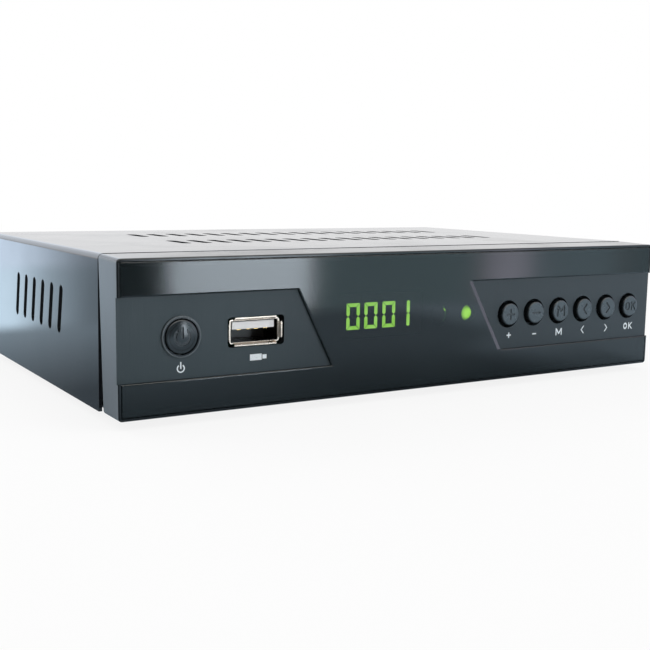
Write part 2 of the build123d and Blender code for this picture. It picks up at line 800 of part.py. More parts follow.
def level_segment(side):
    """Top (side 1) or bottom (side -1) segment of a digit, mitred at both ends."""
    outer = digit_width / 2 - segment_gap
    inner = outer - segment
    edge = side * digit_height / 2
    return outline([(-outer, edge), (outer, edge), (inner, edge - side * segment),
                    (-inner, edge - side * segment)])


def upright_segment(side, half):
    """Left (side -1) or right (side 1) segment of a digit's upper (half 1) or lower (half -1) part."""
    outer = side * digit_width / 2
    inner = side * (digit_width / 2 - segment)
    end = half * (digit_height / 2 - segment_gap)
    point = half * segment_gap / 2
    shoulder = point + half * segment / 2
    return outline([(outer, end), (outer, shoulder), ((outer + inner) / 2, point),
                    (inner, shoulder), (inner, end - half * segment)])


def lone_segment(half):
    """Lower (half -1) or upper (half 1) bar of the figure one, pointed at both ends."""
    side = segment / 2
    start = half * segment_gap / 2
    end = half * digit_height / 2
    point = half * side / 2
    return outline([(0, start), (side, start + point), (side, end - point), (0, end),
                    (-side, end - point), (-side, start + point)])


def display_segments():
    """Lit segments: three noughts and a one."""
    sides = [upright_segment(side, half) for side in (-1, 1) for half in (-1, 1)]
    nought = sides + [level_segment(side) for side in (-1, 1)]
    figures = [(place, nought) for place in zero_places]
    figures.append((one_place, [lone_segment(half) for half in (-1, 1)]))
    solids = []
    for place, shapes in figures:
        for shape in shapes:
            placed = Pos(across(place), up(digit_level)) * shape
            solids.append(front_slab(placed, back(display_face - segment_proud), back(display_face)))
    return Compound(children=solids)


def status_light():
    x = across(status_across)
    z = up(status_level)
    radius = status_size / 2
    tip = back(window_thick + status_gap)
    end = tip + status_length
    body = bar(x, z, tip + radius, end, radius)
    body += Pos(x, tip + radius, z) * Sphere(radius)
    body += bar(x, z, end - status_flange_thick, end, radius + status_flange)
    half = lead_wire / 2
    for side in (-1, 1):
        lead = x + side * status_leads / 2
        body += block(lead - half, lead + half, end - half, back(front_board_face), z - half, z + half)
    return body


def infrared_receiver():
    x = across(sensor_across)
    z = up(status_level)
    half = sensor_size / 2
    low = z - sensor_tall / 2
    start = back(face_back + sensor_set)
    end = start + sensor_thick
    body = block(x - half, x + half, start, end, low, low + sensor_tall)
    body = fillet(body.edges().filter_by(Axis.Z), display_corner)
    dome = bar(x, z, back(window_thick + light_gap), start + sensor_set, sensor_dome)
    body += round_front(dome, sensor_dome_edge)
    for i in (-1, 0, 1):
        lead = x + i * sensor_leads
        body += block(lead - lead_wire / 2, lead + lead_wire / 2, end - lead_wire,
                      back(front_board_face), low + lead_wire, low + 2 * lead_wire)
    return body


def stick_socket_shell():
    """Sheet shell of the memory-stick socket with a sprung lip on each side of its mouth."""
    x = across(stick_across)
    z = up(stick_level)
    half_w = stick_inner_width / 2
    half_h = stick_inner_height / 2
    outer = RectangleRounded(2 * (half_w + stick_sheet), 2 * (half_h + stick_sheet),
                             stick_corner + stick_sheet)
    inner = RectangleRounded(2 * half_w, 2 * half_h, stick_corner)
    mouth = back(stick_mouth)
    shell = front_slab(Pos(x, z) * (outer - inner), mouth, back(front_board_face))
    tip = mouth - stick_lip_forward
    root = mouth + stick_sheet / 3
    for sign in (-1, 1):
        inside = sign * half_h
        outside = sign * (half_h + stick_sheet)
        out = sign * stick_lip_out
        profile = Plane.YZ * outline([(root, z + inside), (root, z + outside),
                                      (tip, z + outside + out), (tip, z + inside + out)])
        lip = extrude(profile, amount=stick_lip_wide / 2, both=True)
        shell += Pos(x, 0, 0) * lip
        inside = sign * half_w
        outside = sign * (half_w + stick_sheet)
        profile = Plane.XY * outline([(x + inside, root), (x + outside, root),
                                      (x + outside + out, tip), (x + inside + out, tip)])
        lip = extrude(profile, amount=stick_lip_tall / 2, both=True)
        shell += Pos(0, 0, z) * lip
    return shell


def stick_socket_insulator():
    """Moulded part that fills the shell's rear, with the tongue that carries the contacts."""
    x = across(stick_across)
    z = up(stick_level)
    half_w = stick_inner_width / 2 - stick_fit
    half_h = stick_inner_height / 2 - stick_fit
    floor_y = back(front_board_face - stick_floor)
    rear = block(x - half_w, x + half_w, floor_y, back(front_board_face), z - half_h, z + half_h)
    rear = fillet(rear.edges().filter_by(Axis.Y), stick_corner)
    low = z + stick_tongue_level - stick_tongue_thick / 2
    tongue = block(x - stick_tongue_width / 2, x + stick_tongue_width / 2,
                   back(stick_mouth + stick_tongue_set), floor_y + 2 * stick_tongue_edge,
                   low, low + stick_tongue_thick)
    tongue = fillet(tongue.edges().filter_by(Axis.X), stick_tongue_edge)
    return rear + tongue


def stick_socket_contacts():
    strips = []
    half = stick_contact_width / 2
    start = back(stick_mouth + stick_tongue_set + stick_contact_set)
    high = up(stick_level + stick_tongue_level - stick_tongue_thick / 2)
    for offset in stick_contact_places:
        x = across(stick_across) + offset
        strips.append(block(x - half, x + half, start, back(front_board_face - stick_floor),
                            high - stick_contact_thick, high))
    return Compound(children=strips)


# ---------------------------------------------------------------- boards inside
def circuit_board(left, right, front, screws):
    """Level board from its front edge to the rear wall, with its screw holes."""
    board = block(across(left), across(right), back(front), back(main_rear), board_low, board_top)
    for x, y in screws:
        board -= post(across(x), back(y), board_low - through, board_top + through, screw_hole / 2)
    return board


def main_board():
    return circuit_board(main_left, main_right, main_front, main_screws)


def supply_board():
    return circuit_board(supply_left, supply_right, supply_front, supply_screws)


def board_spacers():
    """Hexagonal spacers that stand on the tray and carry the boards."""
    hexagon = RegularPolygon(spacer_size / 2, 6, major_radius=False) - Circle(screw_shank / 2)
    spacer = extrude(hexagon, amount=spacer_height)
    places = main_screws + supply_screws
    return Compound(children=[Pos(across(x), back(y), tray_top) * spacer for x, y in places])


def cross_screw(shank_radius, shank_length, head_radius, height):
    """Pan-head screw with a cross recess, head up, its seat at the origin."""
    head = Pos(0, 0, height / 2) * Cylinder(head_radius, height)
    head = fillet(head.edges().sort_by(Axis.Z)[-1], head_rounding * height)
    shank = Pos(0, 0, -shank_length / 2) * Cylinder(shank_radius, shank_length)
    arm = recess_reach * head_radius
    cross = Box(arm, recess_width, height) + Box(recess_width, arm, height)
    return head + shank - Pos(0, 0, height) * cross


def board_screws():
    screw = cross_screw(screw_shank / 2 - thread_gap, board_thick + spacer_grip * spacer_height,
                        head_size / 2, head_height)
    places = main_screws + supply_screws
    return Compound(children=[Pos(across(x), back(y), board_top) * screw for x, y in places])


def cover_screws():
    screw = cross_screw(screw_shank / 2 - thread_gap, cover_screw_length, head_size / 2, head_height)
    level = cover_top - cover_screw_drop
    turned = [Pos(x, back(case_depth), level) * Rot(X=-90) * screw for x in cover_screw_places]
    return Compound(children=turned)


def bezel_screws():
    """Screws into the moulding: the front board's from behind, two from under the tray."""
    shank = pilot / 2 - thread_gap
    screw = cross_screw(shank, board_thick + boss_screw_grip, thin_head_size / 2, thin_head)
    rear = back(front_board_face + board_thick)
    parts = [Pos(across(x), rear, up(z)) * Rot(X=-90) * screw for x, z in front_bosses]
    short = cross_screw(shank, sheet + lug_screw_grip, thin_head_size / 2, thin_head)
    for side in (-1, 1):
        place = Pos(side * lug_spread, back(front_depth + lug_back), foot_height)
        parts.append(place * Rot(X=180) * short)
    return Compound(children=parts)


def chip(place, width, length, height):
    """Flat component on the main board, placed by its middle."""
    x = across(place[0])
    y = back(place[1])
    body = block(x - width / 2, x + width / 2, y - length / 2, y + length / 2, board_top,
                 board_top + height)
    return chamfer(body.edges().group_by(Axis.Z)[-1], chip_edge * height)


def processor():
    return chip(processor_place, processor_size, processor_size, processor_height)


def heatsink():
    x = across(processor_place[0])
    y = back(processor_place[1])
    base = board_top + processor_height
    half = heatsink_size / 2
    body = block(x - half, x + half, y - half, y + half, base, base + heatsink_base)
    step = (heatsink_size - fin_thick) / (fin_count - 1)
    for i in range(fin_count):
        fin = x - half + i * step
        body += block(fin, fin + fin_thick, y - half, y + half, base, base + heatsink_height)
    return body


def memory_chips():
    working = [chip(place, *working_memory_size) for place in working_memory_places]
    return Compound(children=working + [chip(store_place, *store_size),
                                        chip(tuner_chip_place, *tuner_chip_size)])


def capacitors():
    """Electrolytic capacitors of both boards: upright cans with a rolled groove."""
    cans = []
    for x, depth, radius, height in capacitor_cans:
        can = post(across(x), back(depth), board_top, board_top + height, radius)
        can = fillet(can.edges().sort_by(Axis.Z)[-1], can_rounding)
        groove = Torus(radius + can_groove_out, can_groove_size)
        groove = Pos(across(x), back(depth), board_top + can_groove_up) * groove
        cans.append(can - groove)
    return Compound(children=cans)


def transformer_core():
    """Ferrite ring around the winding, standing clear of the board on the bobbin."""
    x = across(transformer_place[0])
    y = back(transformer_place[1])
    half = core_width / 2
    low = board_top + core_lift
    outer = block(x - half, x + half, y - core_thick / 2, y + core_thick / 2, low, low + core_height)
    inner = half - core_limb
    hole = block(x - inner, x + inner, y - core_thick, y + core_thick, low + core_limb,
                 low + core_height - core_limb)
    return outer - hole


def transformer_winding():
    """Winding on its bobbin, whose two feet stand on the board."""
    x = across(transformer_place[0])
    y = back(transformer_place[1])
    half = core_width / 2 - core_limb - winding_gap
    low = board_top + core_lift + core_limb + winding_gap
    high = board_top + core_lift + core_height - core_limb - winding_gap
    coil = block(x - half, x + half, y - winding_length / 2, y + winding_length / 2, low, high)
    coil = fillet(coil.edges().filter_by(Axis.X), winding_rounding)
    wide = half + bobbin_foot_out
    long = bobbin_foot_length / 2
    for sign in (-1, 1):
        foot_y = y + sign * (winding_length / 2 - bobbin_foot_inset)
        coil += block(x - wide, x + wide, foot_y - long, foot_y + long, board_top,
                      low + bobbin_foot_over)
    return coil


def line_choke():
    x = across(choke_place[0])
    y = back(choke_place[1])
    body = block(x - choke_width / 2, x + choke_width / 2, y - choke_length / 2,
                 y + choke_length / 2, board_top, board_top + choke_height)
    body = fillet(body.edges().filter_by(Axis.Z), choke_corner)
    return fillet(body.edges().group_by(Axis.Z)[-1], choke_edge)


def mains_fuse():
    """Glass fuse across the board, with its end caps in two clips."""
    y = back(fuse_depth)
    z = board_top + fuse_up
    start = across(transformer_place[0]) - fuse_length / 2
    tube = Rot(Y=90) * Cylinder(fuse_size / 2 - fuse_cap_sheet, fuse_length)
    fuse = Pos(start + fuse_length / 2, y, z) * tube
    for x in (start, start + fuse_length - fuse_cap):
        cap = Rot(Y=90) * Cylinder(fuse_size / 2, fuse_cap)
        fuse += Pos(x + fuse_cap / 2, y, z) * cap
        fuse += block(x + fuse_clip_inset, x + fuse_cap - fuse_clip_inset, y - fuse_size / 2,
                      y + fuse_size / 2, board_top, z)
    return fuse


def insulation_sheet():
    """Insulating sheet under the supply board, turned up along the tray's side."""
    left = across(supply_left - liner_margin)
    right = half_width - lip_gap - sheet - liner_side_gap
    start = back(supply_front - liner_margin)
    end = back(rear_inner - liner_rear_gap)
    body = block(left, right, start, end, tray_top, tray_top + sheet_liner)
    body += block(right - sheet_liner, right, start, end, tray_top, tray_top + liner_turn_up)
    for x, y in supply_screws:
        body -= post(across(x), back(y), tray_top - through, tray_top + through,
                     spacer_size / 2 + liner_hole_gap)
    return body


# ---------------------------------------------------------------- rear sockets
tuner_rear = back(rear_inner - tuner_gap)
aerial_end = back(case_depth + aerial_reach)
aerial_level = board_top + aerial_up
aerial_middles = [across(x) for x in aerial_places]


def tuner_can():
    """Open-topped sheet can of the tuner, on the main board."""
    low = board_top
    front = tuner_rear - tuner_depth
    body = block(across(tuner_left), across(tuner_right), front, tuner_rear, low, low + tuner_height)
    body -= block(across(tuner_left) + can_sheet, across(tuner_right) - can_sheet,
                  front + can_sheet, tuner_rear - can_sheet, low + can_sheet,
                  low + tuner_height + through)
    for x in aerial_middles:
        body -= bar(x, aerial_level, tuner_rear - 2 * can_sheet, tuner_rear + through,
                    aerial_root / 2 + press_gap)
    return body


def tuner_lid():
    low = board_top + tuner_height
    front = tuner_rear - tuner_depth
    body = block(across(tuner_left) - lid_margin, across(tuner_right) + lid_margin,
                 front - lid_margin, tuner_rear, low, low + can_sheet)
    for distance in lid_holes:
        body -= post(across(tuner_left + distance), front + lid_holes[0], low - through,
                     low + through, lid_hole_size / 2)
    return body


def aerial_sockets():
    """Threaded barrels with the collar that seats them inside the tuner can."""
    seat_end = tuner_rear - can_sheet
    thread_start = back(rear_outer) + nut_thick + nut_gap
    solids = []
    for x in aerial_middles:
        barrel = bar(x, aerial_level, thread_start, aerial_end, aerial_size / 2)
        barrel = chamfer(barrel.edges().sort_by(Axis.Y)[-1], aerial_edge)
        barrel += bar(x, aerial_level, seat_end, thread_start, aerial_root / 2)
        barrel += bar(x, aerial_level, seat_end - aerial_seat, seat_end,
                      aerial_size / 2 + aerial_seat_step)
        barrel -= bar(x, aerial_level, tuner_rear - aerial_floor, aerial_end + through,
                      aerial_bore / 2)
        solids.append(barrel)
    return Compound(children=solids)


def aerial_insulators():
    solids = []
    for x in aerial_middles:
        plug = bar(x, aerial_level, tuner_rear - aerial_floor, aerial_end - aerial_set,
                   aerial_bore / 2 - press_gap)
        plug -= bar(x, aerial_level, tuner_rear + aerial_floor, aerial_end, aerial_pin / 2)
        solids.append(plug)
    return Compound(children=solids)


def aerial_contacts():
    """Sprung tube in the middle of each insulator."""
    start = tuner_rear + aerial_floor
    solids = []
    for x in aerial_middles:
        tube = bar(x, aerial_level, start, aerial_end - aerial_set - aerial_pin_set,
                   aerial_pin / 2 - press_gap)
        tube -= bar(x, aerial_level, start + aerial_floor, aerial_end, aerial_pin_bore / 2)
        solids.append(tube)
    return Compound(children=solids)


def aerial_nuts():
    start = back(rear_outer)
    hexagon = RegularPolygon(nut_flats / 2, 6, major_radius=False)
    hexagon -= Circle(aerial_root / 2 + press_gap)
    nuts = [front_slab(Pos(x, aerial_level) * hexagon, start, start + nut_thick)
            for x in aerial_middles]
    return Compound(children=nuts)


def av_outline(grow):
    """Outline of the 21-pin socket's shell, with one slanted corner."""
    low = board_top + av_lift - grow
    high = low + av_height + 2 * grow
    left = across(av_left) - grow
    right = across(av_left + av_width) + grow
    return outline([(left, low), (right, low), (right, high), (left + av_slant, high),
                    (left, high - av_slant)])


def av_socket():
    """21-pin socket: moulded body, plug slot all round and a slot for each contact."""
    rear = back(case_depth + av_proud)
    floor_y = rear - av_slot_depth
    body = front_slab(av_outline(0), rear - av_depth, rear)
    body += block(across(av_left + av_foot_inset), across(av_left + av_width - av_foot_inset),
                  rear - av_depth, back(rear_inner) - av_foot_inset, board_top,
                  board_top + 2 * av_lift)
    groove = av_outline(-av_shell) - av_outline(-av_shell - av_slot)
    body -= front_slab(groove, floor_y, rear + through)
    slots = Sketch()
    for x, z in av_contact_places():
        slots += Pos(x, z) * Rectangle(*av_pin_slot)
    return body - front_slab(slots, floor_y, rear + through)


def av_contact_places():
    """Two staggered rows of ten contacts."""
    middle = across(av_left + av_width / 2) + av_shift
    level = board_top + av_lift + av_height / 2
    places = []
    for side in (-1, 1):
        places += [(middle - side * av_stagger + (i - 4.5) * av_pitch, level + side * av_row)
                   for i in range(10)]
    return places


def av_socket_contacts():
    rear = back(case_depth + av_proud)
    wide, tall = av_pin
    strips = [block(x - wide / 2, x + wide / 2, rear - av_slot_depth, rear - av_pin_set,
                    z - tall / 2, z + tall / 2) for x, z in av_contact_places()]
    return Compound(children=strips)


def digital_outline(grow):
    """Outline of the digital picture socket, narrower towards the board."""
    x = across(digital_across)
    low = board_top + digital_lift - grow
    high = low + digital_height + 2 * grow
    half = digital_width / 2 + grow
    knee = high - digital_straight
    return outline([(x - half, high), (x + half, high), (x + half, knee),
                    (x + half - digital_slant, low), (x - half + digital_slant, low),
                    (x - half, knee)])


def digital_av_shell():
    rear = back(case_depth + digital_proud)
    shell = digital_outline(0) - digital_outline(-digital_sheet)
    body = front_slab(shell, rear - digital_depth, rear)
    half = digital_leg / 2
    leg_y = rear - digital_depth + digital_floor
    for side in (-1, 1):
        x = across(digital_across) + side * digital_leg_spread
        body += block(x - half, x + half, leg_y - half, leg_y + half, board_top,
                      board_top + digital_lift + digital_sheet / 2)
    return body


def digital_av_tongue():
    """Moulded part at the socket's rear, with its contact tongue."""
    rear = back(case_depth + digital_proud)
    x = across(digital_across)
    start = rear - digital_depth
    body = front_slab(digital_outline(-digital_sheet - press_gap), start, start + digital_floor)
    level = board_top + digital_lift + digital_height / 2 + digital_tongue_rise
    half = digital_tongue_width / 2
    body += block(x - half, x + half, start, rear - digital_tongue_set,
                  level - digital_tongue_thick / 2, level + digital_tongue_thick / 2)
    return body


coax_x = across(coax_across)
coax_level = board_top + coax_up
coax_start = back(rear_inner - coax_set)
coax_face = back(case_depth)
coax_end = back(case_depth + coax_reach)


def coax_audio_socket():
    """Metal sleeve of the coaxial audio socket."""
    sleeve = bar(coax_x, coax_level, coax_face, coax_end, coax_size / 2)
    sleeve -= bar(coax_x, coax_level, coax_face - through, coax_end + through,
                  coax_size / 2 - coax_sheet)
    return chamfer(sleeve.edges().sort_by(Axis.Y)[-2:], coax_edge)


def coax_audio_insulator():
    """Moulded body on the main board, its collar in the rear wall, and the plug in the sleeve."""
    half = coax_body / 2
    body = block(coax_x - half, coax_x + half, coax_start - coax_body, coax_start, board_top,
                 coax_level + half)
    body = fillet(body.edges().filter_by(Axis.Y).group_by(Axis.Z)[-1], coax_body_corner)
    body += bar(coax_x, coax_level, coax_start, coax_face, half)
    body += bar(coax_x, coax_level, coax_face, coax_end - coax_plug_set,
                coax_size / 2 - coax_sheet - press_gap)
    return body - bar(coax_x, coax_level, coax_start - coax_hole_depth, coax_end, coax_hole / 2)


def mains_inlet():
    """Two-pin mains inlet, snapped into the rear wall from outside."""
    face = back(rear_outer)
    mouth = face + mains_flange_thick
    place = Pos(across(mains_across), up(mains_level))
    inner = RectangleRounded(mains_hole_width - 2 * mains_fit, mains_hole_height - 2 * mains_fit,
                             mains_corner - mains_fit)
    outer = RectangleRounded(mains_hole_width + 2 * mains_flange,
                             mains_hole_height + 2 * mains_flange, mains_flange_corner)
    cavity = SlotOverall(mains_cavity_width, mains_cavity_height)
    flange = front_slab(place * outer, face, mouth)
    flange = fillet(flange.faces().sort_by(Axis.Y)[-1].edges(), mains_edge)
    body = front_slab(place * inner, mouth - mains_cavity_depth - mains_floor, face) + flange
    return body - front_slab(place * cavity, mouth - mains_cavity_depth, mouth + through)


def inlet_pins():
    floor_y = back(rear_outer) + mains_flange_thick - mains_cavity_depth
    pins = []
    for side in (-1, 1):
        x = across(mains_across) + side * pin_pitch / 2
        pin = bar(x, up(mains_level), floor_y, floor_y + pin_length, pin_size / 2)
        pins.append(fillet(pin.edges().sort_by(Axis.Y)[-1], pin_point))
    return Compound(children=pins)


# ---------------------------------------------------------------- wiring
def swept(points, bend_radius, section):
    """Section swept along a run of straights joined by arcs."""
    path = FilletPolyline(*points, radius=bend_radius)
    start = Plane(origin=path @ 0, z_dir=path % 0, x_dir=section_side(points))
    return sweep(start * section, path=path)


def section_side(points):
    """Direction across the run's first straight, along X where the run leaves X free."""
    first = Vector(*points[1]) - Vector(*points[0])
    return (0, 1, 0) if abs(first.X) > abs(first.Y) else (1, 0, 0)


def ribbon_cable():
    """Flat cable from the front board down to the main board, with its two connectors."""
    x = across(ribbon_across)
    half = ribbon_width / 2 + plug_margin
    start = back(front_board_face + board_thick)
    upper = up(ribbon_level)
    plug_half = plug_height / 2
    plug_up = block(x - half, x + half, start, start + plug_depth, upper - plug_half,
                    upper + plug_half)
    low_y = back(ribbon_end)
    top = board_top + plug_height
    plug_low = block(x - half, x + half, low_y - plug_half, low_y + plug_half, board_top, top)
    run = [(x, start + plug_depth, upper), (x, low_y, upper), (x, low_y, top)]
    cable = swept(run, ribbon_bend, Rectangle(ribbon_width, ribbon_thick))
    return Compound(children=[plug_up, cable, plug_low])


def supply_lead():
    """Bundle of wires from the supply board across to the main board."""
    start_x = across(supply_left + lead_inset)
    end_x = across(main_right - 2 * lead_inset)
    y = back(lead_depth)
    half = plug_height / 2
    top = board_top + plug_height
    arch = top + lead_rise
    plugs = [block(x - half, x + half, y - 2 * half, y + 2 * half, board_top, top)
             for x in (start_x, end_x)]
    run = [(start_x, y, top), (start_x, y, arch), (end_x, y, arch), (end_x, y, top)]
    cable = swept(run, lead_bend, Circle(lead_size / 2))
    return Compound(children=[plugs[0], cable, plugs[1]])


nodes = {
    "top_cover": top_cover(),
    "base_tray": base_tray(),
    "rubber_feet": rubber_feet(),
    "front_bezel": front_bezel(),
    "front_window": front_window(),
    "power_button": power_button(),
    "switch_bodies": switch_bodies(),
    "front_board": front_board(),
    "display_housing": display_housing(),
    "display_segments": display_segments(),
    "status_light": status_light(),
    "infrared_receiver": infrared_receiver(),
    "stick_socket_shell": stick_socket_shell(),
    "stick_socket_insulator": stick_socket_insulator(),
    "stick_socket_contacts": stick_socket_contacts(),
    "main_board": main_board(),
    "supply_board": supply_board(),
    "board_spacers": board_spacers(),
    "board_screws": board_screws(),
    "cover_screws": cover_screws(),
    "bezel_screws": bezel_screws(),
    "processor": processor(),
    "heatsink": heatsink(),
    "memory_chips": memory_chips(),
    "capacitors": capacitors(),
    "transformer_core": transformer_core(),
    "transformer_winding": transformer_winding(),
    "line_choke": line_choke(),
    "mains_fuse": mains_fuse(),
    "insulation_sheet": insulation_sheet(),
    "tuner_can": tuner_can(),
    "tuner_lid": tuner_lid(),
    "aerial_sockets": aerial_sockets(),
    "aerial_insulators": aerial_insulators(),
    "aerial_contacts": aerial_contacts(),
    "aerial_nuts": aerial_nuts(),
    "av_socket": av_socket(),
    "av_socket_contacts": av_socket_contacts(),
    "digital_av_shell": digital_av_shell(),
    "digital_av_tongue": digital_av_tongue(),
    "coax_audio_socket": coax_audio_socket(),
    "coax_audio_insulator": coax_audio_insulator(),
    "mains_inlet": mains_inlet(),
    "inlet_pins": inlet_pins(),
    "ribbon_cable": ribbon_cable(),
    "supply_lead": supply_lead(),
}

marks = key_marks()
for name, place in zip(key_names, key_places):
    nodes[name + "_key"] = key_cap(across(place), up(key_level), key_size, key_proud, marks[name])

for name, (x, z) in zip(["power"] + key_names, switch_places()):
    nodes[name + "_plunger"] = switch_plunger(x, z)

for name, shape in nodes.items():
    export_step(shape, "parts/" + name + ".step")
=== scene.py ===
import math

import bmesh
import bpy
from mathutils import Matrix, Vector


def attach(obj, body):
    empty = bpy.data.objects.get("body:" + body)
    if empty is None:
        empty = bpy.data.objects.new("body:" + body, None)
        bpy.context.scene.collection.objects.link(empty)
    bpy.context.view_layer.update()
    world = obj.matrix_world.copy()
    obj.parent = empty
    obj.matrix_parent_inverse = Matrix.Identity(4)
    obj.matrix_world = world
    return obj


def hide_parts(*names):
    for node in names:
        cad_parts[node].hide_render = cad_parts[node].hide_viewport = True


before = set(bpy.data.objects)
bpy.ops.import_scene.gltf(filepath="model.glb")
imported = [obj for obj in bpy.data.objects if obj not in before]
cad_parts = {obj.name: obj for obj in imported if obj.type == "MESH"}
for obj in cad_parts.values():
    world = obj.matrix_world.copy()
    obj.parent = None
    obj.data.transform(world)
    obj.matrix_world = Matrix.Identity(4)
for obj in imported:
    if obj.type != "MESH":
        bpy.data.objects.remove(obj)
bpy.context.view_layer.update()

# The looks of a small satellite television receiver. The row frame is in metres: +X to the right as
# the front is seen, +Y to the rear, +Z up. The places named here are in millimetres: FRONT is where
# the moulded front's face lies, BASE its lower edge.
MM = 0.001
HALF_WIDTH = 84.0
FRONT = -60.35
BASE = 2.0
PANEL = FRONT + 0.8                  # matte panels of the front
KEY_FACE = PANEL - 1.05
KEY_SIGN_FLOOR = KEY_FACE + 0.15     # floor of a round key's engraved sign
POWER_SIGN_FLOOR = FRONT             # floor of the power key's engraved sign
PANEL_REACH = 0.12                   # a point this close to PANEL counts as on a panel
SIGN_REACH = 0.03                    # the same for the floor of a sign
POWER_MIDDLE = (15.23 - HALF_WIDTH, BASE + 18.05)
POWER_RING_HIGHLIGHT = (4.50, 4.85)            # radii of the painted highlight on the raised ring round the power key
INSIDE = (FRONT + 1.5, FRONT + 1.7)  # the moulding's dull inside sets in between these
MOUTH_END = (FRONT + 1.9, FRONT + 2.6)    # painted shade turns the stick socket's shell dark brown between these
TONGUE_END = (FRONT + 5.5, FRONT + 7.5)   # and painted shade turns its white tongue black between these
LIGHT_MIDDLE = (99.05 - HALF_WIDTH, BASE + 18.76)
LIGHT_FADE = (0.9, 2.2)              # distances from its middle between which the status light fades
FUSE_MIDDLE = 148.0 - HALF_WIDTH
FUSE_GLASS = 4.9                     # half length of the fuse's bare glass
TAPE_WIDTH = 2.6
CORE_PITCH = 1.25                    # between the cores of the ribbon cable


# ---------------------------------------------------------------- nodes
def feed(tree, socket, value):
    """Give an input its value: a number, a vector, a colour or an output socket."""
    if isinstance(value, bpy.types.NodeSocket):
        tree.links.new(value, socket)
    elif socket.type == "RGBA":
        socket.default_value = (*value[:3], 1.0)
    else:
        socket.default_value = value


def add(tree, kind, **inputs):
    """New node, its inputs given by name with an underscore for each space. Returns its outputs."""
    node = tree.nodes.new(kind)
    for label, value in inputs.items():
        feed(tree, node.inputs[label.replace("_", " ")], value)
    return node.outputs


def maths(tree, operation, first, second=None, third=None, clamp=False):
    """Math node. Each argument is a number or an output socket."""
    node = tree.nodes.new("ShaderNodeMath")
    node.operation = operation
    node.use_clamp = clamp
    for slot, value in enumerate((first, second, third)):
        if value is not None:
            feed(tree, node.inputs[slot], value)
    return node.outputs[0]


def product(tree, first, *others):
    """Values multiplied in turn."""
    for other in others:
        first = maths(tree, "MULTIPLY", first, other)
    return first


def vectors(tree, operation, first, second=None):
    """Vector Math node. Returns its outputs."""
    node = tree.nodes.new("ShaderNodeVectorMath")
    node.operation = operation
    for slot, value in enumerate((first, second)):
        if value is not None:
            feed(tree, node.inputs[slot], value)
    return node.outputs


def spread(tree, value, low, high, to_low=0.0, to_high=1.0, smooth=True):
    """Value carried from one range to another, clamped."""
    node = tree.nodes.new("ShaderNodeMapRange")
    node.interpolation_type = "SMOOTHSTEP" if smooth else "LINEAR"
    for slot, given in enumerate((value, low, high, to_low, to_high)):
        feed(tree, node.inputs[slot], given)
    return node.outputs["Result"]


def between(tree, value, low, high, soft=0.02 * MM):
    """1 where the value lies between two numbers, 0 elsewhere."""
    return product(tree, spread(tree, value, low - soft, low + soft),
                   spread(tree, value, high + soft, high - soft))


def noise(tree, vector, scale, detail=3.0, rough=0.5):
    return add(tree, "ShaderNodeTexNoise", Vector=vector, Scale=scale, Detail=detail,
               Roughness=rough)["Fac"]


def shaded_point(tree):
    """The point being shaded, in the row frame."""
    return add(tree, "ShaderNodeTexCoord")["Object"]


def geometry(tree, label):
    return add(tree, "ShaderNodeNewGeometry")[label]


def axes(tree, vector):
    """X, Y and Z of a vector."""
    return add(tree, "ShaderNodeSeparateXYZ", Vector=vector)


def blend_colour(tree, factor, first, second):
    """Mix of two colours; each is a colour or an output socket."""
    node = tree.nodes.new("ShaderNodeMix")
    node.data_type = "RGBA"
    for slot, value in ((0, factor), (6, first), (7, second)):
        feed(tree, node.inputs[slot], value)
    return node.outputs[2]


def blend_value(tree, factor, first, second):
    """Mix of two numbers; each is a number or an output socket."""
    node = tree.nodes.new("ShaderNodeMix")
    for slot, value in ((0, factor), (2, first), (3, second)):
        feed(tree, node.inputs[slot], value)
    return node.outputs[0]


def mix_shaders(tree, factor, first, second):
    node = tree.nodes.new("ShaderNodeMixShader")
    for slot, value in enumerate((factor, first, second)):
        feed(tree, node.inputs[slot], value)
    return node.outputs[0]


def empty_tree(owner, output):
    """Node tree of a material or a world, cleared, and the input its surface goes to."""
    owner.use_nodes = True
    tree = owner.node_tree
    tree.nodes.clear()
    return tree, tree.nodes.new(output).inputs["Surface"]


# ---------------------------------------------------------------- node groups
def new_group(name, inputs, outputs):
    """Shader node group with named sockets. Each input is (name, kind, value). Returns the group, its
    given values and the inputs of its result."""
    group = bpy.data.node_groups.new(name, "ShaderNodeTree")
    for label, kind, value in inputs:
        socket = group.interface.new_socket(name=label, in_out="INPUT", socket_type=kind)
        socket.default_value = value
    for label in outputs:
        group.interface.new_socket(name=label, in_out="OUTPUT", socket_type="NodeSocketFloat")
    return group, add(group, "NodeGroupInput"), group.nodes.new("NodeGroupOutput").inputs


def grain_group():
    """Fine surface grain, stretched along an axis, and a slow change of tone."""
    tree, given, result = new_group(
        "fine grain",
        [("Scale", "NodeSocketFloat", 2500.0), ("Stretch", "NodeSocketVector", (1.0, 1.0, 1.0))],
        ["Height", "Tone"])
    place = shaded_point(tree)
    stretched = vectors(tree, "MULTIPLY", place, given["Stretch"])["Vector"]
    feed(tree, result["Height"], noise(tree, stretched, given["Scale"], 4.0, 0.6))
    feed(tree, result["Tone"], spread(tree, noise(tree, place, 28.0, 4.0, 0.55), 0.3, 0.7))
    return tree


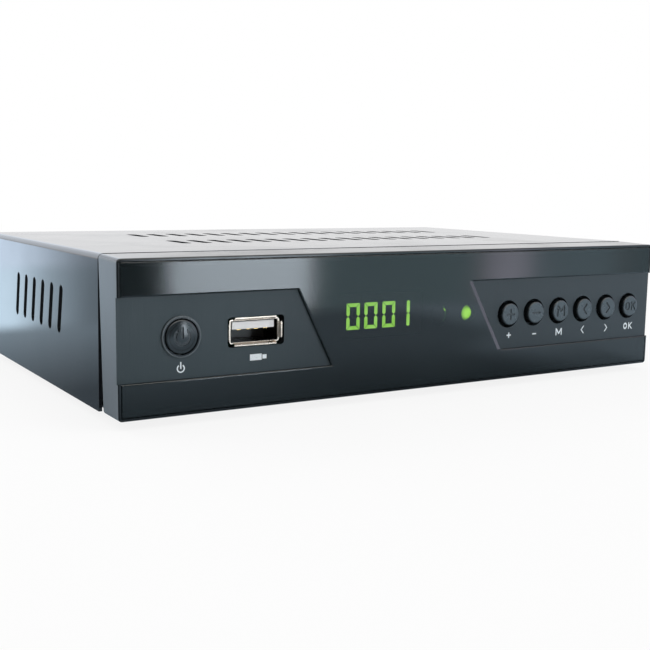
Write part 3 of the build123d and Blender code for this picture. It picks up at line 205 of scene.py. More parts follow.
def smudge_group():
    """Roughness of a handled surface: soft smears and a few fine wipe marks."""
    tree, given, result = new_group(
        "handling smears",
        [("Clean", "NodeSocketFloat", 0.15), ("Smeared", "NodeSocketFloat", 0.30),
         ("Scale", "NodeSocketFloat", 35.0)],
        ["Roughness"])
    place = shaded_point(tree)
    smear = spread(tree, noise(tree, place, given["Scale"], 5.0, 0.6), 0.42, 0.72)
    squeezed = vectors(tree, "MULTIPLY", place, (1.0, 9.0, 5.0))["Vector"]
    wipe = spread(tree, noise(tree, squeezed, 60.0, 2.0), 0.62, 0.75)
    both = maths(tree, "ADD", smear, product(tree, wipe, 0.25), clamp=True)
    span = maths(tree, "SUBTRACT", given["Smeared"], given["Clean"])
    feed(tree, result["Roughness"], maths(tree, "MULTIPLY_ADD", both, span, given["Clean"]))
    return tree


def wear_group():
    """Where an edge is rubbed bright: the rounded normal leaves the true one there."""
    tree, given, result = new_group(
        "rubbed edges",
        [("Reach", "NodeSocketFloat", 0.0003), ("Amount", "NodeSocketFloat", 0.5)], ["Mask"])
    rounded = tree.nodes.new("ShaderNodeBevel")
    rounded.samples = 4
    feed(tree, rounded.inputs["Radius"], given["Reach"])
    alike = vectors(tree, "DOT_PRODUCT", rounded.outputs["Normal"], geometry(tree, "Normal"))["Value"]
    edge = spread(tree, alike, 0.995, 0.80)
    patchy = spread(tree, noise(tree, shaded_point(tree), 420.0, 4.0, 0.65), 0.35, 0.7)
    feed(tree, result["Mask"], maths(tree, "MULTIPLY", product(tree, edge, patchy), given["Amount"],
                                     clamp=True))
    return tree


def dust_group():
    """Settled dust: faint, in specks and patches, on what faces up."""
    tree, given, result = new_group("settled dust", [("Amount", "NodeSocketFloat", 0.1)], ["Mask"])
    place = shaded_point(tree)
    facing = spread(tree, axes(tree, geometry(tree, "Normal"))["Z"], 0.2, 0.95)
    specks = spread(tree, noise(tree, place, 1900.0, 2.0, 0.7), 0.60, 0.74)
    patches = spread(tree, noise(tree, place, 22.0, 4.0, 0.6), 0.35, 0.75)
    settled = product(tree, maths(tree, "MULTIPLY_ADD", specks, 0.6, 0.25), patches, facing)
    feed(tree, result["Mask"], maths(tree, "MULTIPLY", settled, given["Amount"], clamp=True))
    return tree


GRAIN = grain_group()
SMEARS = smudge_group()
WEAR = wear_group()
DUST = dust_group()


# ---------------------------------------------------------------- finishes
FINISHES = {}                        # each material, by its name
METAL = dict(metallic=1.0, wear=0.0, tone=0.12)


def start_finish(name):
    """Material with one shader, kept in FINISHES. Returns its node tree and the shader's inputs."""
    FINISHES[name] = bpy.data.materials.new(name)
    tree, surface = empty_tree(FINISHES[name], "ShaderNodeOutputMaterial")
    shader = tree.nodes.new("ShaderNodeBsdfPrincipled")
    feed(tree, surface, shader.outputs["BSDF"])
    return tree, shader.inputs


def end_finish(tree, shader, colour, rough, height, depth):
    """Colour, roughness and relief of a shader; the relief's depth is in millimetres."""
    relief = add(tree, "ShaderNodeBump", Strength=1.0, Distance=depth * MM, Height=height)
    feed(tree, shader["Base Color"], colour)
    feed(tree, shader["Roughness"], rough)
    feed(tree, shader["Normal"], relief["Normal"])


def use(tree, group, **values):
    """Group placed in a material, with its own values. Returns its outputs."""
    node = tree.nodes.new("ShaderNodeGroup")
    node.node_tree = group
    for label, value in values.items():
        node.inputs[label].default_value = value
    return node.outputs


def smeared(tree, clean, smudged, scale=35.0):
    """Roughness between that of a clean and that of a smudged surface."""
    return use(tree, SMEARS, Clean=clean, Smeared=smudged, Scale=scale)["Roughness"]


def rubbed(tree, reach, amount):
    """Mask of the rubbed edges; reach is in millimetres."""
    return use(tree, WEAR, Reach=reach * MM, Amount=amount)["Mask"]


def lighter(colour, share):
    return tuple(c + (1 - c) * share for c in colour)


def darker(colour, share):
    return tuple(c * (1 - share) for c in colour)


def simple_finish(name, colour, clean, smudged, grain=2500.0, depth=0.01, stretch=(1, 1, 1), wear=0.3,
                  wear_colour=None, metallic=0.0, ior=1.5, dust=0.0, tone=0.15, reach=0.3):
    """Painted, moulded or metal finish: tone, grain, smears, rubbed edges and dust.
    depth and reach are in millimetres."""
    tree, shader = start_finish(name)
    feed(tree, shader["Metallic"], metallic)
    feed(tree, shader["IOR"], ior)
    surface = use(tree, GRAIN, Scale=grain, Stretch=stretch)
    base = blend_colour(tree, surface["Tone"], darker(colour, tone), lighter(colour, tone * 0.25))
    base = blend_colour(tree, rubbed(tree, reach, wear), base, wear_colour or lighter(colour, 0.35))
    if dust:
        base = blend_colour(tree, use(tree, DUST, Amount=dust)["Mask"], base, (0.42, 0.41, 0.39))
    end_finish(tree, shader, base, smeared(tree, clean, smudged), surface["Height"], depth)


def front_moulding_finish():
    """Moulded front: glossy face, rougher ends painted pale grey-blue as a painted reflection, matte
    panels brushed upright with the left panel painted lighter as painted light, a painted highlight on
    the ring round the power key, and a dull inside."""
    tree, shader = start_finish("front moulding")
    place, normal = axes(tree, shaded_point(tree)), axes(tree, geometry(tree, "Normal"))
    aside = maths(tree, "ABSOLUTE", place["X"])
    # where each look lies
    panel = product(tree, between(tree, place["Y"], (PANEL - PANEL_REACH) * MM,
                                  (PANEL + PANEL_REACH) * MM), spread(tree, normal["Y"], -0.7, -0.9))
    end = product(tree, spread(tree, maths(tree, "ABSOLUTE", normal["X"]), 0.75, 0.95),
                  spread(tree, aside, (HALF_WIDTH - 0.7) * MM, (HALF_WIDTH - 0.5) * MM))
    off_x = maths(tree, "SUBTRACT", place["X"], POWER_MIDDLE[0] * MM)
    off_z = maths(tree, "SUBTRACT", place["Z"], POWER_MIDDLE[1] * MM)
    off = maths(tree, "SQRT", maths(tree, "ADD", product(tree, off_x, off_x),
                                    product(tree, off_z, off_z)))
    # painted highlight: a grey band on the raised ring round the power key
    ring = product(tree, between(tree, off, POWER_RING_HIGHLIGHT[0] * MM, POWER_RING_HIGHLIGHT[1] * MM, 0.05 * MM),
                   spread(tree, place["Y"], (PANEL - 0.1) * MM, (PANEL - 0.25) * MM))
    inner = product(tree, spread(tree, place["Y"], INSIDE[0] * MM, INSIDE[1] * MM),
                    between(tree, place["Z"], (BASE + 2) * MM, (BASE + 34) * MM),
                    spread(tree, aside, (HALF_WIDTH - 1.5) * MM, (HALF_WIDTH - 2.0) * MM))
    # colour
    gloss = use(tree, GRAIN, Scale=900.0)
    brushed = use(tree, GRAIN, Scale=1500.0, Stretch=(2.4, 1.0, 0.12))
    smooth = blend_colour(tree, gloss["Tone"], (0.002, 0.0035, 0.0045), (0.004, 0.006, 0.007))
    streaks_and_painted_light = blend_colour(tree, spread(tree, brushed["Height"], 0.35, 0.65), (0.005, 0.010, 0.013),
                           (0.008, 0.015, 0.018))
    # painted light: the left panel is painted lighter than the right one
    streaks_and_painted_light = blend_colour(tree, spread(tree, place["X"], -0.02, -0.06), streaks_and_painted_light, (0.021, 0.033, 0.038))
    # painted reflection: the ends of the black moulding are painted pale grey-blue
    painted_sheen = blend_colour(tree, gloss["Tone"], (0.155, 0.182, 0.208), (0.180, 0.208, 0.236))
    base = blend_colour(tree, panel, smooth, streaks_and_painted_light)
    base = blend_colour(tree, end, base, painted_sheen)
    # painted highlight on the power key's ring
    base = blend_colour(tree, ring, base, (0.085, 0.10, 0.108))
    worn = product(tree, rubbed(tree, 0.2, 0.1), maths(tree, "SUBTRACT", 1.0, inner))
    base = blend_colour(tree, worn, base, (0.14, 0.16, 0.17))
    # roughness
    rough = blend_value(tree, end, smeared(tree, 0.11, 0.20), 0.38)
    rough = blend_value(tree, ring, rough, 0.35)
    rough = blend_value(tree, inner, rough, 0.75)
    rough = blend_value(tree, panel, rough, spread(tree, brushed["Height"], 0.3, 0.7, 0.40, 0.50))
    end_finish(tree, shader, base, rough, product(tree, brushed["Height"], panel), 0.018)


def window_finish():
    """Smoked window: nearly black, with a hint of what is lit behind it. From inside it is clear."""
    tree, shader = start_finish("smoked window")
    surface = use(tree, GRAIN, Scale=500.0)
    base = blend_colour(tree, surface["Tone"], (0.004, 0.008, 0.009), (0.006, 0.011, 0.012))
    base = blend_colour(tree, rubbed(tree, 0.2, 0.2), base, (0.12, 0.14, 0.15))
    end_finish(tree, shader, base, smeared(tree, 0.045, 0.09, 22.0), surface["Height"], 0.001)
    feed(tree, shader["IOR"], 1.55)
    feed(tree, shader["Alpha"], spread(tree, geometry(tree, "Backfacing"), 0.0, 1.0, 0.78, 0.0))


def key_finish(name, sign_floor, clean, smudged, shade=0.0):
    """Push key: fine matte face, made darker by shade, sides painted nearly black as painted shade in
    the gap round the key, rubbed rim, engraved sign painted darker as painted shade in its hollow.
    """
    tree, shader = start_finish(name)
    place, normal = axes(tree, shaded_point(tree)), axes(tree, geometry(tree, "Normal"))
    sign = product(tree, between(tree, place["Y"], (sign_floor - SIGN_REACH) * MM,
                                 (sign_floor + SIGN_REACH) * MM, 0.005 * MM),
                   spread(tree, normal["Y"], -0.8, -0.95))
    surface = use(tree, GRAIN, Scale=2600.0)
    base = blend_colour(tree, surface["Tone"], darker((0.034, 0.048, 0.057), shade),
                        darker((0.044, 0.060, 0.070), shade))
    # painted shade: the key's sides are painted nearly black, as shade in the gap round it
    base = blend_colour(tree, spread(tree, normal["Y"], -0.9, -0.6), base, (0.006, 0.008, 0.009))
    base = blend_colour(tree, rubbed(tree, 0.25, 0.5), base, (0.17, 0.20, 0.22))
    # painted shade: the floor of the engraved sign is painted darker, as shade in its hollow
    base = blend_colour(tree, sign, base, (0.008, 0.011, 0.013))
    end_finish(tree, shader, base, smeared(tree, clean, smudged, 260.0), surface["Height"], 0.012)


def socket_tongue_finish():
    """Moulded part of the stick socket: white tongue, painted black behind it as painted shade deep in
    the socket.
    """
    tree, shader = start_finish("socket tongue")
    surface = use(tree, GRAIN, Scale=2200.0)
    base = blend_colour(tree, surface["Tone"], (0.88, 0.89, 0.90), (0.93, 0.94, 0.95))
    # painted shade: the tongue's rear part is painted black, as shade deep in the socket
    rear = spread(tree, axes(tree, shaded_point(tree))["Y"], TONGUE_END[0] * MM, TONGUE_END[1] * MM)
    base = blend_colour(tree, rear, base, (0.020, 0.017, 0.013))
    end_finish(tree, shader, base, smeared(tree, 0.30, 0.45), surface["Height"], 0.01)


def stick_shell_finish():
    """Plated shell of the stick socket: warm at its mouth, painted dark brown further in as painted
    shade inside the socket.
    """
    tree, shader = start_finish("stick socket shell")
    feed(tree, shader["Metallic"], 1.0)
    surface = use(tree, GRAIN, Scale=1800.0, Stretch=(1.0, 0.15, 1.0))
    base = blend_colour(tree, surface["Tone"], (0.50, 0.40, 0.32), (0.62, 0.52, 0.43))
    # painted shade: the shell is painted dark brown further in, as shade inside the socket
    deep = spread(tree, axes(tree, shaded_point(tree))["Y"], MOUTH_END[0] * MM, MOUTH_END[1] * MM)
    base = blend_colour(tree, deep, base, (0.045, 0.034, 0.024))
    end_finish(tree, shader, base, smeared(tree, 0.24, 0.38, 160.0), surface["Height"], 0.01)


def lit_finish(name, colour, strength, spot=400.0, middle=None):
    """Lit plastic, a little uneven. Around a middle, given in millimetres, it fades to its rim."""
    tree, shader = start_finish(name)
    place = shaded_point(tree)
    uneven = spread(tree, noise(tree, place, spot, 2.0), 0.3, 0.7)
    glow = blend_colour(tree, uneven, darker(colour, 0.12), lighter(colour, 0.05))
    if middle:
        flat = vectors(tree, "MULTIPLY", place, (1.0, 0.0, 1.0))["Vector"]
        away = vectors(tree, "DISTANCE", flat, (middle[0] * MM, 0.0, middle[1] * MM))["Value"]
        fade = spread(tree, away, LIGHT_FADE[0] * MM, LIGHT_FADE[1] * MM)
        glow = blend_colour(tree, fade, glow, darker(colour, 0.93))
    feed(tree, shader["Emission Color"], glow)
    feed(tree, shader["Emission Strength"], strength)
    feed(tree, shader["Base Color"],
         blend_colour(tree, uneven, darker(colour, 0.6), darker(colour, 0.5)))
    feed(tree, shader["Roughness"], spread(tree, uneven, 0.0, 1.0, 0.35, 0.5))


def board_finish(name, lacquer, copper):
    """Circuit board: lacquer over copper tracks on a grid, and bright solder points."""
    tree, shader = start_finish(name)
    place = shaded_point(tree)
    tracks = add(tree, "ShaderNodeTexBrick", Vector=place, Scale=160.0, Mortar_Size=0.03,
                 Brick_Width=1.7, Row_Height=0.33)["Fac"]
    dots = add(tree, "ShaderNodeTexVoronoi", Vector=place, Scale=260.0, Randomness=0.35)["Distance"]
    solder = spread(tree, dots, 0.20, 0.14)
    surface = use(tree, GRAIN, Scale=1800.0)
    base = blend_colour(tree, surface["Tone"], lacquer, lighter(lacquer, 0.04))
    base = blend_colour(tree, tracks, base, copper)
    base = blend_colour(tree, solder, base, (0.66, 0.66, 0.64))
    feed(tree, shader["Metallic"], product(tree, solder, 0.85))
    height = maths(tree, "ADD", product(tree, tracks, 0.3), solder)
    end_finish(tree, shader, base, spread(tree, solder, 0.0, 1.0, 0.38, 0.22), height, 0.05)


def can_finish():
    """Sleeved capacitor: dark blue sleeve, pale stripe, bare pressed top."""
    tree, shader = start_finish("capacitor sleeve")
    normal = axes(tree, geometry(tree, "Normal"))
    top = spread(tree, normal["Z"], 0.7, 0.95)
    surface = use(tree, GRAIN, Scale=1500.0)
    base = blend_colour(tree, surface["Tone"], (0.020, 0.025, 0.080), (0.032, 0.040, 0.120))
    base = blend_colour(tree, spread(tree, normal["X"], 0.93, 0.96), base, (0.55, 0.56, 0.60))
    base = blend_colour(tree, top, base, (0.62, 0.63, 0.64))
    feed(tree, shader["Metallic"], product(tree, top, 0.9))
    end_finish(tree, shader, base, smeared(tree, 0.25, 0.40, 200.0), surface["Height"], 0.02)


def fuse_finish():
    """Fuse: clear glass in the middle, bright caps and clips at the ends."""
    tree, shader = start_finish("fuse")
    across = axes(tree, shaded_point(tree))["X"]
    off = maths(tree, "ABSOLUTE", maths(tree, "SUBTRACT", across, FUSE_MIDDLE * MM))
    cap = spread(tree, off, FUSE_GLASS * MM, (FUSE_GLASS + 0.1) * MM)
    surface = use(tree, GRAIN, Scale=1800.0)
    metal = blend_colour(tree, surface["Tone"], (0.60, 0.58, 0.54), (0.75, 0.73, 0.70))
    feed(tree, shader["Metallic"], cap)
    feed(tree, shader["Alpha"], spread(tree, cap, 0.0, 1.0, 0.35, 1.0))
    end_finish(tree, shader, blend_colour(tree, cap, (0.80, 0.84, 0.84), metal),
               spread(tree, surface["Tone"], 0.0, 1.0, 0.12, 0.28), surface["Height"], 0.01)


def winding_finish():
    """Tape wound round a coil: overlapping turns of yellow film."""
    tree, shader = start_finish("winding tape")
    across = axes(tree, shaded_point(tree))["X"]
    turn = maths(tree, "FRACT", maths(tree, "DIVIDE", across, TAPE_WIDTH * MM))
    surface = use(tree, GRAIN, Scale=800.0)
    base = blend_colour(tree, surface["Tone"], (0.55, 0.42, 0.06), (0.72, 0.56, 0.10))
    base = blend_colour(tree, spread(tree, turn, 0.92, 1.0), base, (0.30, 0.20, 0.03))
    height = maths(tree, "ADD", turn, product(tree, surface["Height"], 0.3))
    end_finish(tree, shader, base, smeared(tree, 0.22, 0.35, 150.0), height, 0.05)


def ribbon_finish():
    """Soft grey jacket of a flat cable, with a rib over each core, and painted shade in the grooves
    between the ribs.
    """
    tree, shader = start_finish("ribbon jacket")
    across = axes(tree, shaded_point(tree))["X"]
    turn = maths(tree, "FRACT", maths(tree, "DIVIDE", across, CORE_PITCH * MM))
    rib = maths(tree, "SINE", product(tree, turn, math.pi))
    surface = use(tree, GRAIN, Scale=1600.0)
    colour = (0.52, 0.52, 0.50)
    base = blend_colour(tree, surface["Tone"], darker(colour, 0.15), colour)
    # painted shade: darker in the grooves between the ribs
    base = blend_colour(tree, spread(tree, rib, 0.35, 0.0, 0.0, 0.8), base, (0.22, 0.22, 0.21))
    end_finish(tree, shader, base, smeared(tree, 0.35, 0.5, 150.0), rib, 0.3)


def ink_finish():
    """Pale screen-printed ink, slightly thin in places."""
    tree, shader = start_finish("printed ink")
    height = use(tree, GRAIN, Scale=3000.0)["Height"]
    base = blend_colour(tree, spread(tree, height, 0.30, 0.45), (0.62, 0.69, 0.72), (0.82, 0.88, 0.92))
    end_finish(tree, shader, base, spread(tree, height, 0.3, 0.7, 0.38, 0.55), height, 0.004)


simple_finish("cover paint", (0.012, 0.015, 0.019), 0.11, 0.15, grain=1500.0, depth=0.003, wear=0.25,
              wear_colour=(0.20, 0.21, 0.22), dust=0.02, reach=0.4, ior=1.55, tone=0.06)
simple_finish("tray paint", (0.022, 0.024, 0.026), 0.34, 0.48, grain=2200.0, depth=0.02, wear=0.35,
              wear_colour=(0.30, 0.30, 0.30))
simple_finish("foot rubber", (0.030, 0.030, 0.031), 0.62, 0.78, grain=2600.0, depth=0.06, wear=0.25,
              dust=0.2)
front_moulding_finish()
window_finish()
key_finish("key face", KEY_SIGN_FLOOR, 0.26, 0.36)
key_finish("power key face", POWER_SIGN_FLOOR, 0.15, 0.22, 0.6)
simple_finish("switch housing", (0.035, 0.035, 0.037), 0.45, 0.6, depth=0.02)
simple_finish("plunger", (0.10, 0.10, 0.10), 0.35, 0.5, depth=0.02)
board_finish("green board", (0.012, 0.085, 0.032), (0.035, 0.17, 0.06))
board_finish("brown board", (0.26, 0.15, 0.055), (0.36, 0.22, 0.09))
simple_finish("display housing", (0.003, 0.003, 0.003), 0.55, 0.7, depth=0.02, wear=0.0)
lit_finish("lit segment", (0.25, 0.58, 0.055), 4.4)
lit_finish("lit lens", (0.29, 0.70, 0.01), 4.0, 600.0, LIGHT_MIDDLE)
simple_finish("sensor resin", (0.004, 0.002, 0.003), 0.75, 0.85, depth=0.004, ior=1.15, wear=0.0)
simple_finish("socket nickel", (0.80, 0.74, 0.66), 0.16, 0.30, grain=1800.0, stretch=(1, 0.15, 1),
              **METAL)
stick_shell_finish()
socket_tongue_finish()
simple_finish("white moulding", (0.78, 0.77, 0.73), 0.30, 0.45, depth=0.02,
              wear_colour=(0.86, 0.85, 0.82))
simple_finish("gold contact", (0.78, 0.53, 0.20), 0.16, 0.30, **METAL)
simple_finish("black moulding", (0.022, 0.022, 0.024), 0.38, 0.52, depth=0.03, wear=0.4)
simple_finish("orange moulding", (0.72, 0.20, 0.02), 0.32, 0.46, depth=0.02)
simple_finish("zinc screw", (0.62, 0.63, 0.64), 0.24, 0.40, grain=2600.0, depth=0.02, **METAL)
simple_finish("black screw", (0.040, 0.040, 0.042), 0.26, 0.40, grain=3000.0, depth=0.02, wear=0.7,
              wear_colour=(0.42, 0.42, 0.43), metallic=0.6)
simple_finish("bright nickel", (0.72, 0.70, 0.66), 0.14, 0.28, depth=0.008, **METAL)
simple_finish("chip resin", (0.028, 0.028, 0.031), 0.48, 0.62, grain=3600.0, depth=0.03)
simple_finish("sink aluminium", (0.70, 0.71, 0.72), 0.26, 0.42, grain=1500.0, depth=0.02,
              stretch=(1, 0.08, 1), **METAL)
can_finish()
simple_finish("ferrite", (0.045, 0.045, 0.048), 0.5, 0.65, grain=1800.0, depth=0.05, wear=0.5,
              wear_colour=(0.20, 0.20, 0.20))
winding_finish()
simple_finish("choke case", (0.035, 0.10, 0.26), 0.36, 0.5, depth=0.02)
fuse_finish()
simple_finish("liner film", (0.66, 0.65, 0.60), 0.35, 0.55, grain=700.0, depth=0.02)
ribbon_finish()
simple_finish("lead jacket", (0.42, 0.035, 0.025), 0.35, 0.5, grain=900.0, depth=0.03)
ink_finish()

WEARS = {
    "cover paint": ["top_cover"],
    "tray paint": ["base_tray"],
    "foot rubber": ["rubber_feet"],
    "front moulding": ["front_bezel"],
    "smoked window": ["front_window"],
    "key face": ["plus_key", "minus_key", "menu_key", "left_key", "right_key", "ok_key"],
    "power key face": ["power_button"],
    "switch housing": ["switch_bodies"],
    "plunger": ["power_plunger", "plus_plunger", "minus_plunger", "menu_plunger", "left_plunger",
                "right_plunger", "ok_plunger"],
    "green board": ["front_board", "main_board"],
    "brown board": ["supply_board"],
    "display housing": ["display_housing"],
    "lit segment": ["display_segments"],
    "lit lens": ["status_light"],
    "sensor resin": ["infrared_receiver"],
    "stick socket shell": ["stick_socket_shell"],
    "socket tongue": ["stick_socket_insulator"],
    "socket nickel": ["digital_av_shell", "tuner_can", "tuner_lid"],
    "white moulding": ["aerial_insulators"],
    "gold contact": ["stick_socket_contacts", "av_socket_contacts", "aerial_contacts"],
    "black moulding": ["av_socket", "digital_av_tongue", "mains_inlet"],
    "orange moulding": ["coax_audio_insulator"],
    "zinc screw": ["board_spacers", "board_screws"],
    "black screw": ["cover_screws", "bezel_screws"],
    "bright nickel": ["aerial_sockets", "aerial_nuts", "coax_audio_socket", "inlet_pins"],
    "chip resin": ["processor", "memory_chips"],
    "sink aluminium": ["heatsink"],
    "capacitor sleeve": ["capacitors"],
    "ferrite": ["transformer_core"],
    "winding tape": ["transformer_winding"],
    "choke case": ["line_choke"],
    "fuse": ["mains_fuse"],
    "liner film": ["insulation_sheet"],
    "ribbon jacket": ["ribbon_cable"],
    "lead jacket": ["supply_lead"],
}
for finish, names in WEARS.items():
    for name in names:
        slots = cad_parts[name].data.materials
        slots.clear()
        slots.append(FINISHES[finish])


# ---------------------------------------------------------------- objects
def add_object(name, data):
    """Object with its own data, put in the scene."""
    made = bpy.data.objects.new(name, data)
    bpy.context.scene.collection.objects.link(made)
    return made


def close_mesh(name, bm, finish):
    """Mesh of what bm holds, its faces turned outwards."""
    bmesh.ops.recalc_face_normals(bm, faces=bm.faces)
    mesh = bpy.data.meshes.new(name)
    bm.to_mesh(mesh)
    bm.free()
    mesh.materials.append(FINISHES[finish])
    return mesh


# ---------------------------------------------------------------- threads of the aerial sockets
THREAD_START = FRONT + 111.75        # full size of the barrels
THREAD_END = FRONT + 120.6
THREAD_PITCH = 0.794
THREAD_DEPTH = 0.38
THREAD_RADIUS = 4.68                 # over the ridges
RIDGE_STEPS = 96                     # round a ridge
RIDGE_SIDES = 8                      # of its section
BARREL_LEVEL = 17.5
BARREL_PLACES = (15.0, 33.0)
BARREL_STEPS = 72
SHARP_ANGLE = math.radians(30)
# half section of a barrel: distance behind the front face, and radius
BARREL = [(106.25, 0.0), (106.25, 5.7), (107.75, 5.7), (107.75, 4.35), (111.65, 4.35), (120.75, 4.34),
          (121.0, 4.1), (121.0, 3.8), (106.75, 3.8), (106.75, 0.0)]


def turn_barrels():
    """Both barrels down to the root of their thread, in place of the plain ones."""
    bm = bmesh.new()
    angles = [2 * math.pi * i / BARREL_STEPS for i in range(BARREL_STEPS)]
    for across in BARREL_PLACES:
        rings = []
        for depth, radius in BARREL:
            rings.append([bm.verts.new(((across - HALF_WIDTH + radius * math.cos(a)) * MM,
                                        (FRONT + depth) * MM,
                                        (BARREL_LEVEL + radius * math.sin(a)) * MM))
                          for a in (angles if radius else angles[:1])])
        for first, second in zip(rings, rings[1:]):
            for i in range(BARREL_STEPS):
                j = (i + 1) % BARREL_STEPS
                if len(first) == 1:
                    bm.faces.new((first[0], second[j], second[i]))
                elif len(second) == 1:
                    bm.faces.new((first[i], first[j], second[0]))
                else:
                    bm.faces.new((first[i], first[j], second[j], second[i]))
    mesh = close_mesh("aerial_barrels", bm, "bright nickel")
    mesh.shade_smooth()
    mesh.set_sharp_from_angle(angle=SHARP_ANGLE)
    piece = add_object("aerial_barrels", mesh)
    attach(piece, "case")
    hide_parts("aerial_sockets")


def thread_rings():
    """Geometry node tree: one ridge, repeated along the barrel."""
    tree = bpy.data.node_groups.new("thread ridges", "GeometryNodeTree")
    for label, kind in (("Geometry", "Geometry"), ("Radius", "Float"), ("Depth", "Float"),
                        ("Pitch", "Float"), ("Ridges", "Int"), ("Start", "Vector")):
        tree.interface.new_socket(name=label, in_out="INPUT", socket_type="NodeSocket" + kind)
    tree.interface.new_socket(name="Geometry", in_out="OUTPUT", socket_type="NodeSocketGeometry")
    given = add(tree, "NodeGroupInput")
    # the ridge's line: a circle at mid height, about the barrel's axis
    line = add(tree, "GeometryNodeCurvePrimitiveCircle", Resolution=RIDGE_STEPS,
               Radius=maths(tree, "MULTIPLY_ADD", given["Depth"], -0.5, given["Radius"]))
    # its section: a rounded lozenge as deep as the thread
    section = add(tree, "GeometryNodeCurvePrimitiveCircle", Resolution=RIDGE_SIDES, Radius=1.0)
    size = add(tree, "ShaderNodeCombineXYZ", X=product(tree, given["Depth"], 0.5),
               Y=product(tree, given["Pitch"], 0.36), Z=1.0)
    section = add(tree, "GeometryNodeTransform", Geometry=section["Curve"], Scale=size[0])
    ridge = add(tree, "GeometryNodeCurveToMesh", Curve=line["Curve"], Profile_Curve=section["Geometry"])
    ridge = add(tree, "GeometryNodeSetShadeSmooth", Geometry=ridge["Mesh"])
    ridge = add(tree, "GeometryNodeTransform", Geometry=ridge["Geometry"],
                Rotation=(math.pi / 2, 0.0, 0.0))
    # the ridges along the barrel
    step = add(tree, "ShaderNodeCombineXYZ", Y=given["Pitch"])
    places = add(tree, "GeometryNodeMeshLine", Count=given["Ridges"], Start_Location=given["Start"],
                 Offset=step[0])
    ridges = add(tree, "GeometryNodeInstanceOnPoints", Points=places["Mesh"], Instance=ridge["Geometry"])
    ridges = add(tree, "GeometryNodeRealizeInstances", Geometry=ridges["Instances"])
    ridges = add(tree, "GeometryNodeSetMaterial", Geometry=ridges["Geometry"],
                 Material=FINISHES["bright nickel"])
    feed(tree, tree.nodes.new("NodeGroupOutput").inputs["Geometry"], ridges["Geometry"])
    return tree


def cut_threads():
    """Ridges of both aerial barrels, as plain meshes on the case."""
    tree = thread_rings()
    labels = {item.name: item.identifier for item in tree.interface.items_tree
              if item.in_out == "INPUT"}
    for name, across in zip(("thread_left", "thread_right"), BARREL_PLACES):
        holder = add_object(name + "_rule", bpy.data.meshes.new(name + "_rule"))
        ruled = holder.modifiers.new("ridges", "NODES")
        ruled.node_group = tree
        ruled[labels["Radius"]] = THREAD_RADIUS * MM
        ruled[labels["Depth"]] = THREAD_DEPTH * MM
        ruled[labels["Pitch"]] = THREAD_PITCH * MM
        ruled[labels["Ridges"]] = int((THREAD_END - THREAD_START) / THREAD_PITCH)
        ruled[labels["Start"]] = ((across - HALF_WIDTH) * MM, (THREAD_START + THREAD_PITCH / 2) * MM,
                                  BARREL_LEVEL * MM)
        shown = holder.evaluated_get(bpy.context.evaluated_depsgraph_get())
        mesh = bpy.data.meshes.new_from_object(shown)
        mesh.name = name
        bpy.data.objects.remove(holder)
        piece = add_object(name, mesh)
        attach(piece, "case")


turn_barrels()
cut_threads()


# ---------------------------------------------------------------- printed signs
INK_THICK = 0.02
SIGN_FIRST = 112.5 - HALF_WIDTH + 0.5     # sign under the first round key; the others a pitch apart
SIGN_PITCH = 9.45
SIGN_LEVEL = BASE + 11.75
POWER_SIGN = (15.15 - HALF_WIDTH, BASE + 10.75)
STICK_SIGN = (34.9 - HALF_WIDTH, BASE + 11.9)
# outlines in millimetres, about their sign's middle
CHEVRON = [(0.62, 1.1), (0.22, 1.1), (-0.74, 0.0), (0.22, -1.1), (0.62, -1.1), (-0.32, 0.0)]
CROSS = [(-0.75, 0.18), (-0.18, 0.18), (-0.18, 0.75), (0.18, 0.75), (0.18, 0.18), (0.75, 0.18),
         (0.75, -0.18), (0.18, -0.18), (0.18, -0.75), (-0.18, -0.75), (-0.18, -0.18), (-0.75, -0.18)]
DASH = [(-0.7, 0.18), (0.7, 0.18), (0.7, -0.18), (-0.7, -0.18)]
LETTER_M = [(-1.2, -1.0), (-1.2, 1.0), (-0.82, 1.0), (0.0, -0.2), (0.82, 1.0), (1.2, 1.0), (1.2, -1.0),
            (0.84, -1.0), (0.84, 0.35), (0.16, -0.68), (-0.16, -0.68), (-0.84, 0.35), (-0.84, -1.0)]
LETTER_K = [(-0.8, -1.0), (-0.8, 1.0), (-0.45, 1.0), (-0.45, 0.18), (0.42, 1.0), (0.88, 1.0),
            (-0.08, 0.08), (0.92, -1.0), (0.47, -1.0), (-0.32, -0.16), (-0.45, -0.28), (-0.45, -1.0)]
POWER_STROKE = [(-0.16, -0.1), (-0.16, 1.5), (0.16, 1.5), (0.16, -0.1)]
STICK_BODY = [(-2.2, 0.75), (0.9, 0.75), (0.9, -0.75), (-2.2, -0.75)]
STICK_PLUG = [(1.1, 0.5), (2.2, 0.5), (2.2, -0.5), (1.1, -0.5)]


def add_outline(bm, points, x, z):
    """Closed plate of ink in the panel's plane, from an outline moved to X and Z."""
    rear, front = [[bm.verts.new(((x + px) * MM, y * MM, (z + pz) * MM)) for px, pz in points]
                   for y in (PANEL, PANEL - INK_THICK)]
    bm.faces.new(front)
    bm.faces.new(list(reversed(rear)))
    for i in range(len(points)):
        j = (i + 1) % len(points)
        bm.faces.new((front[j], front[i], rear[i], rear[j]))


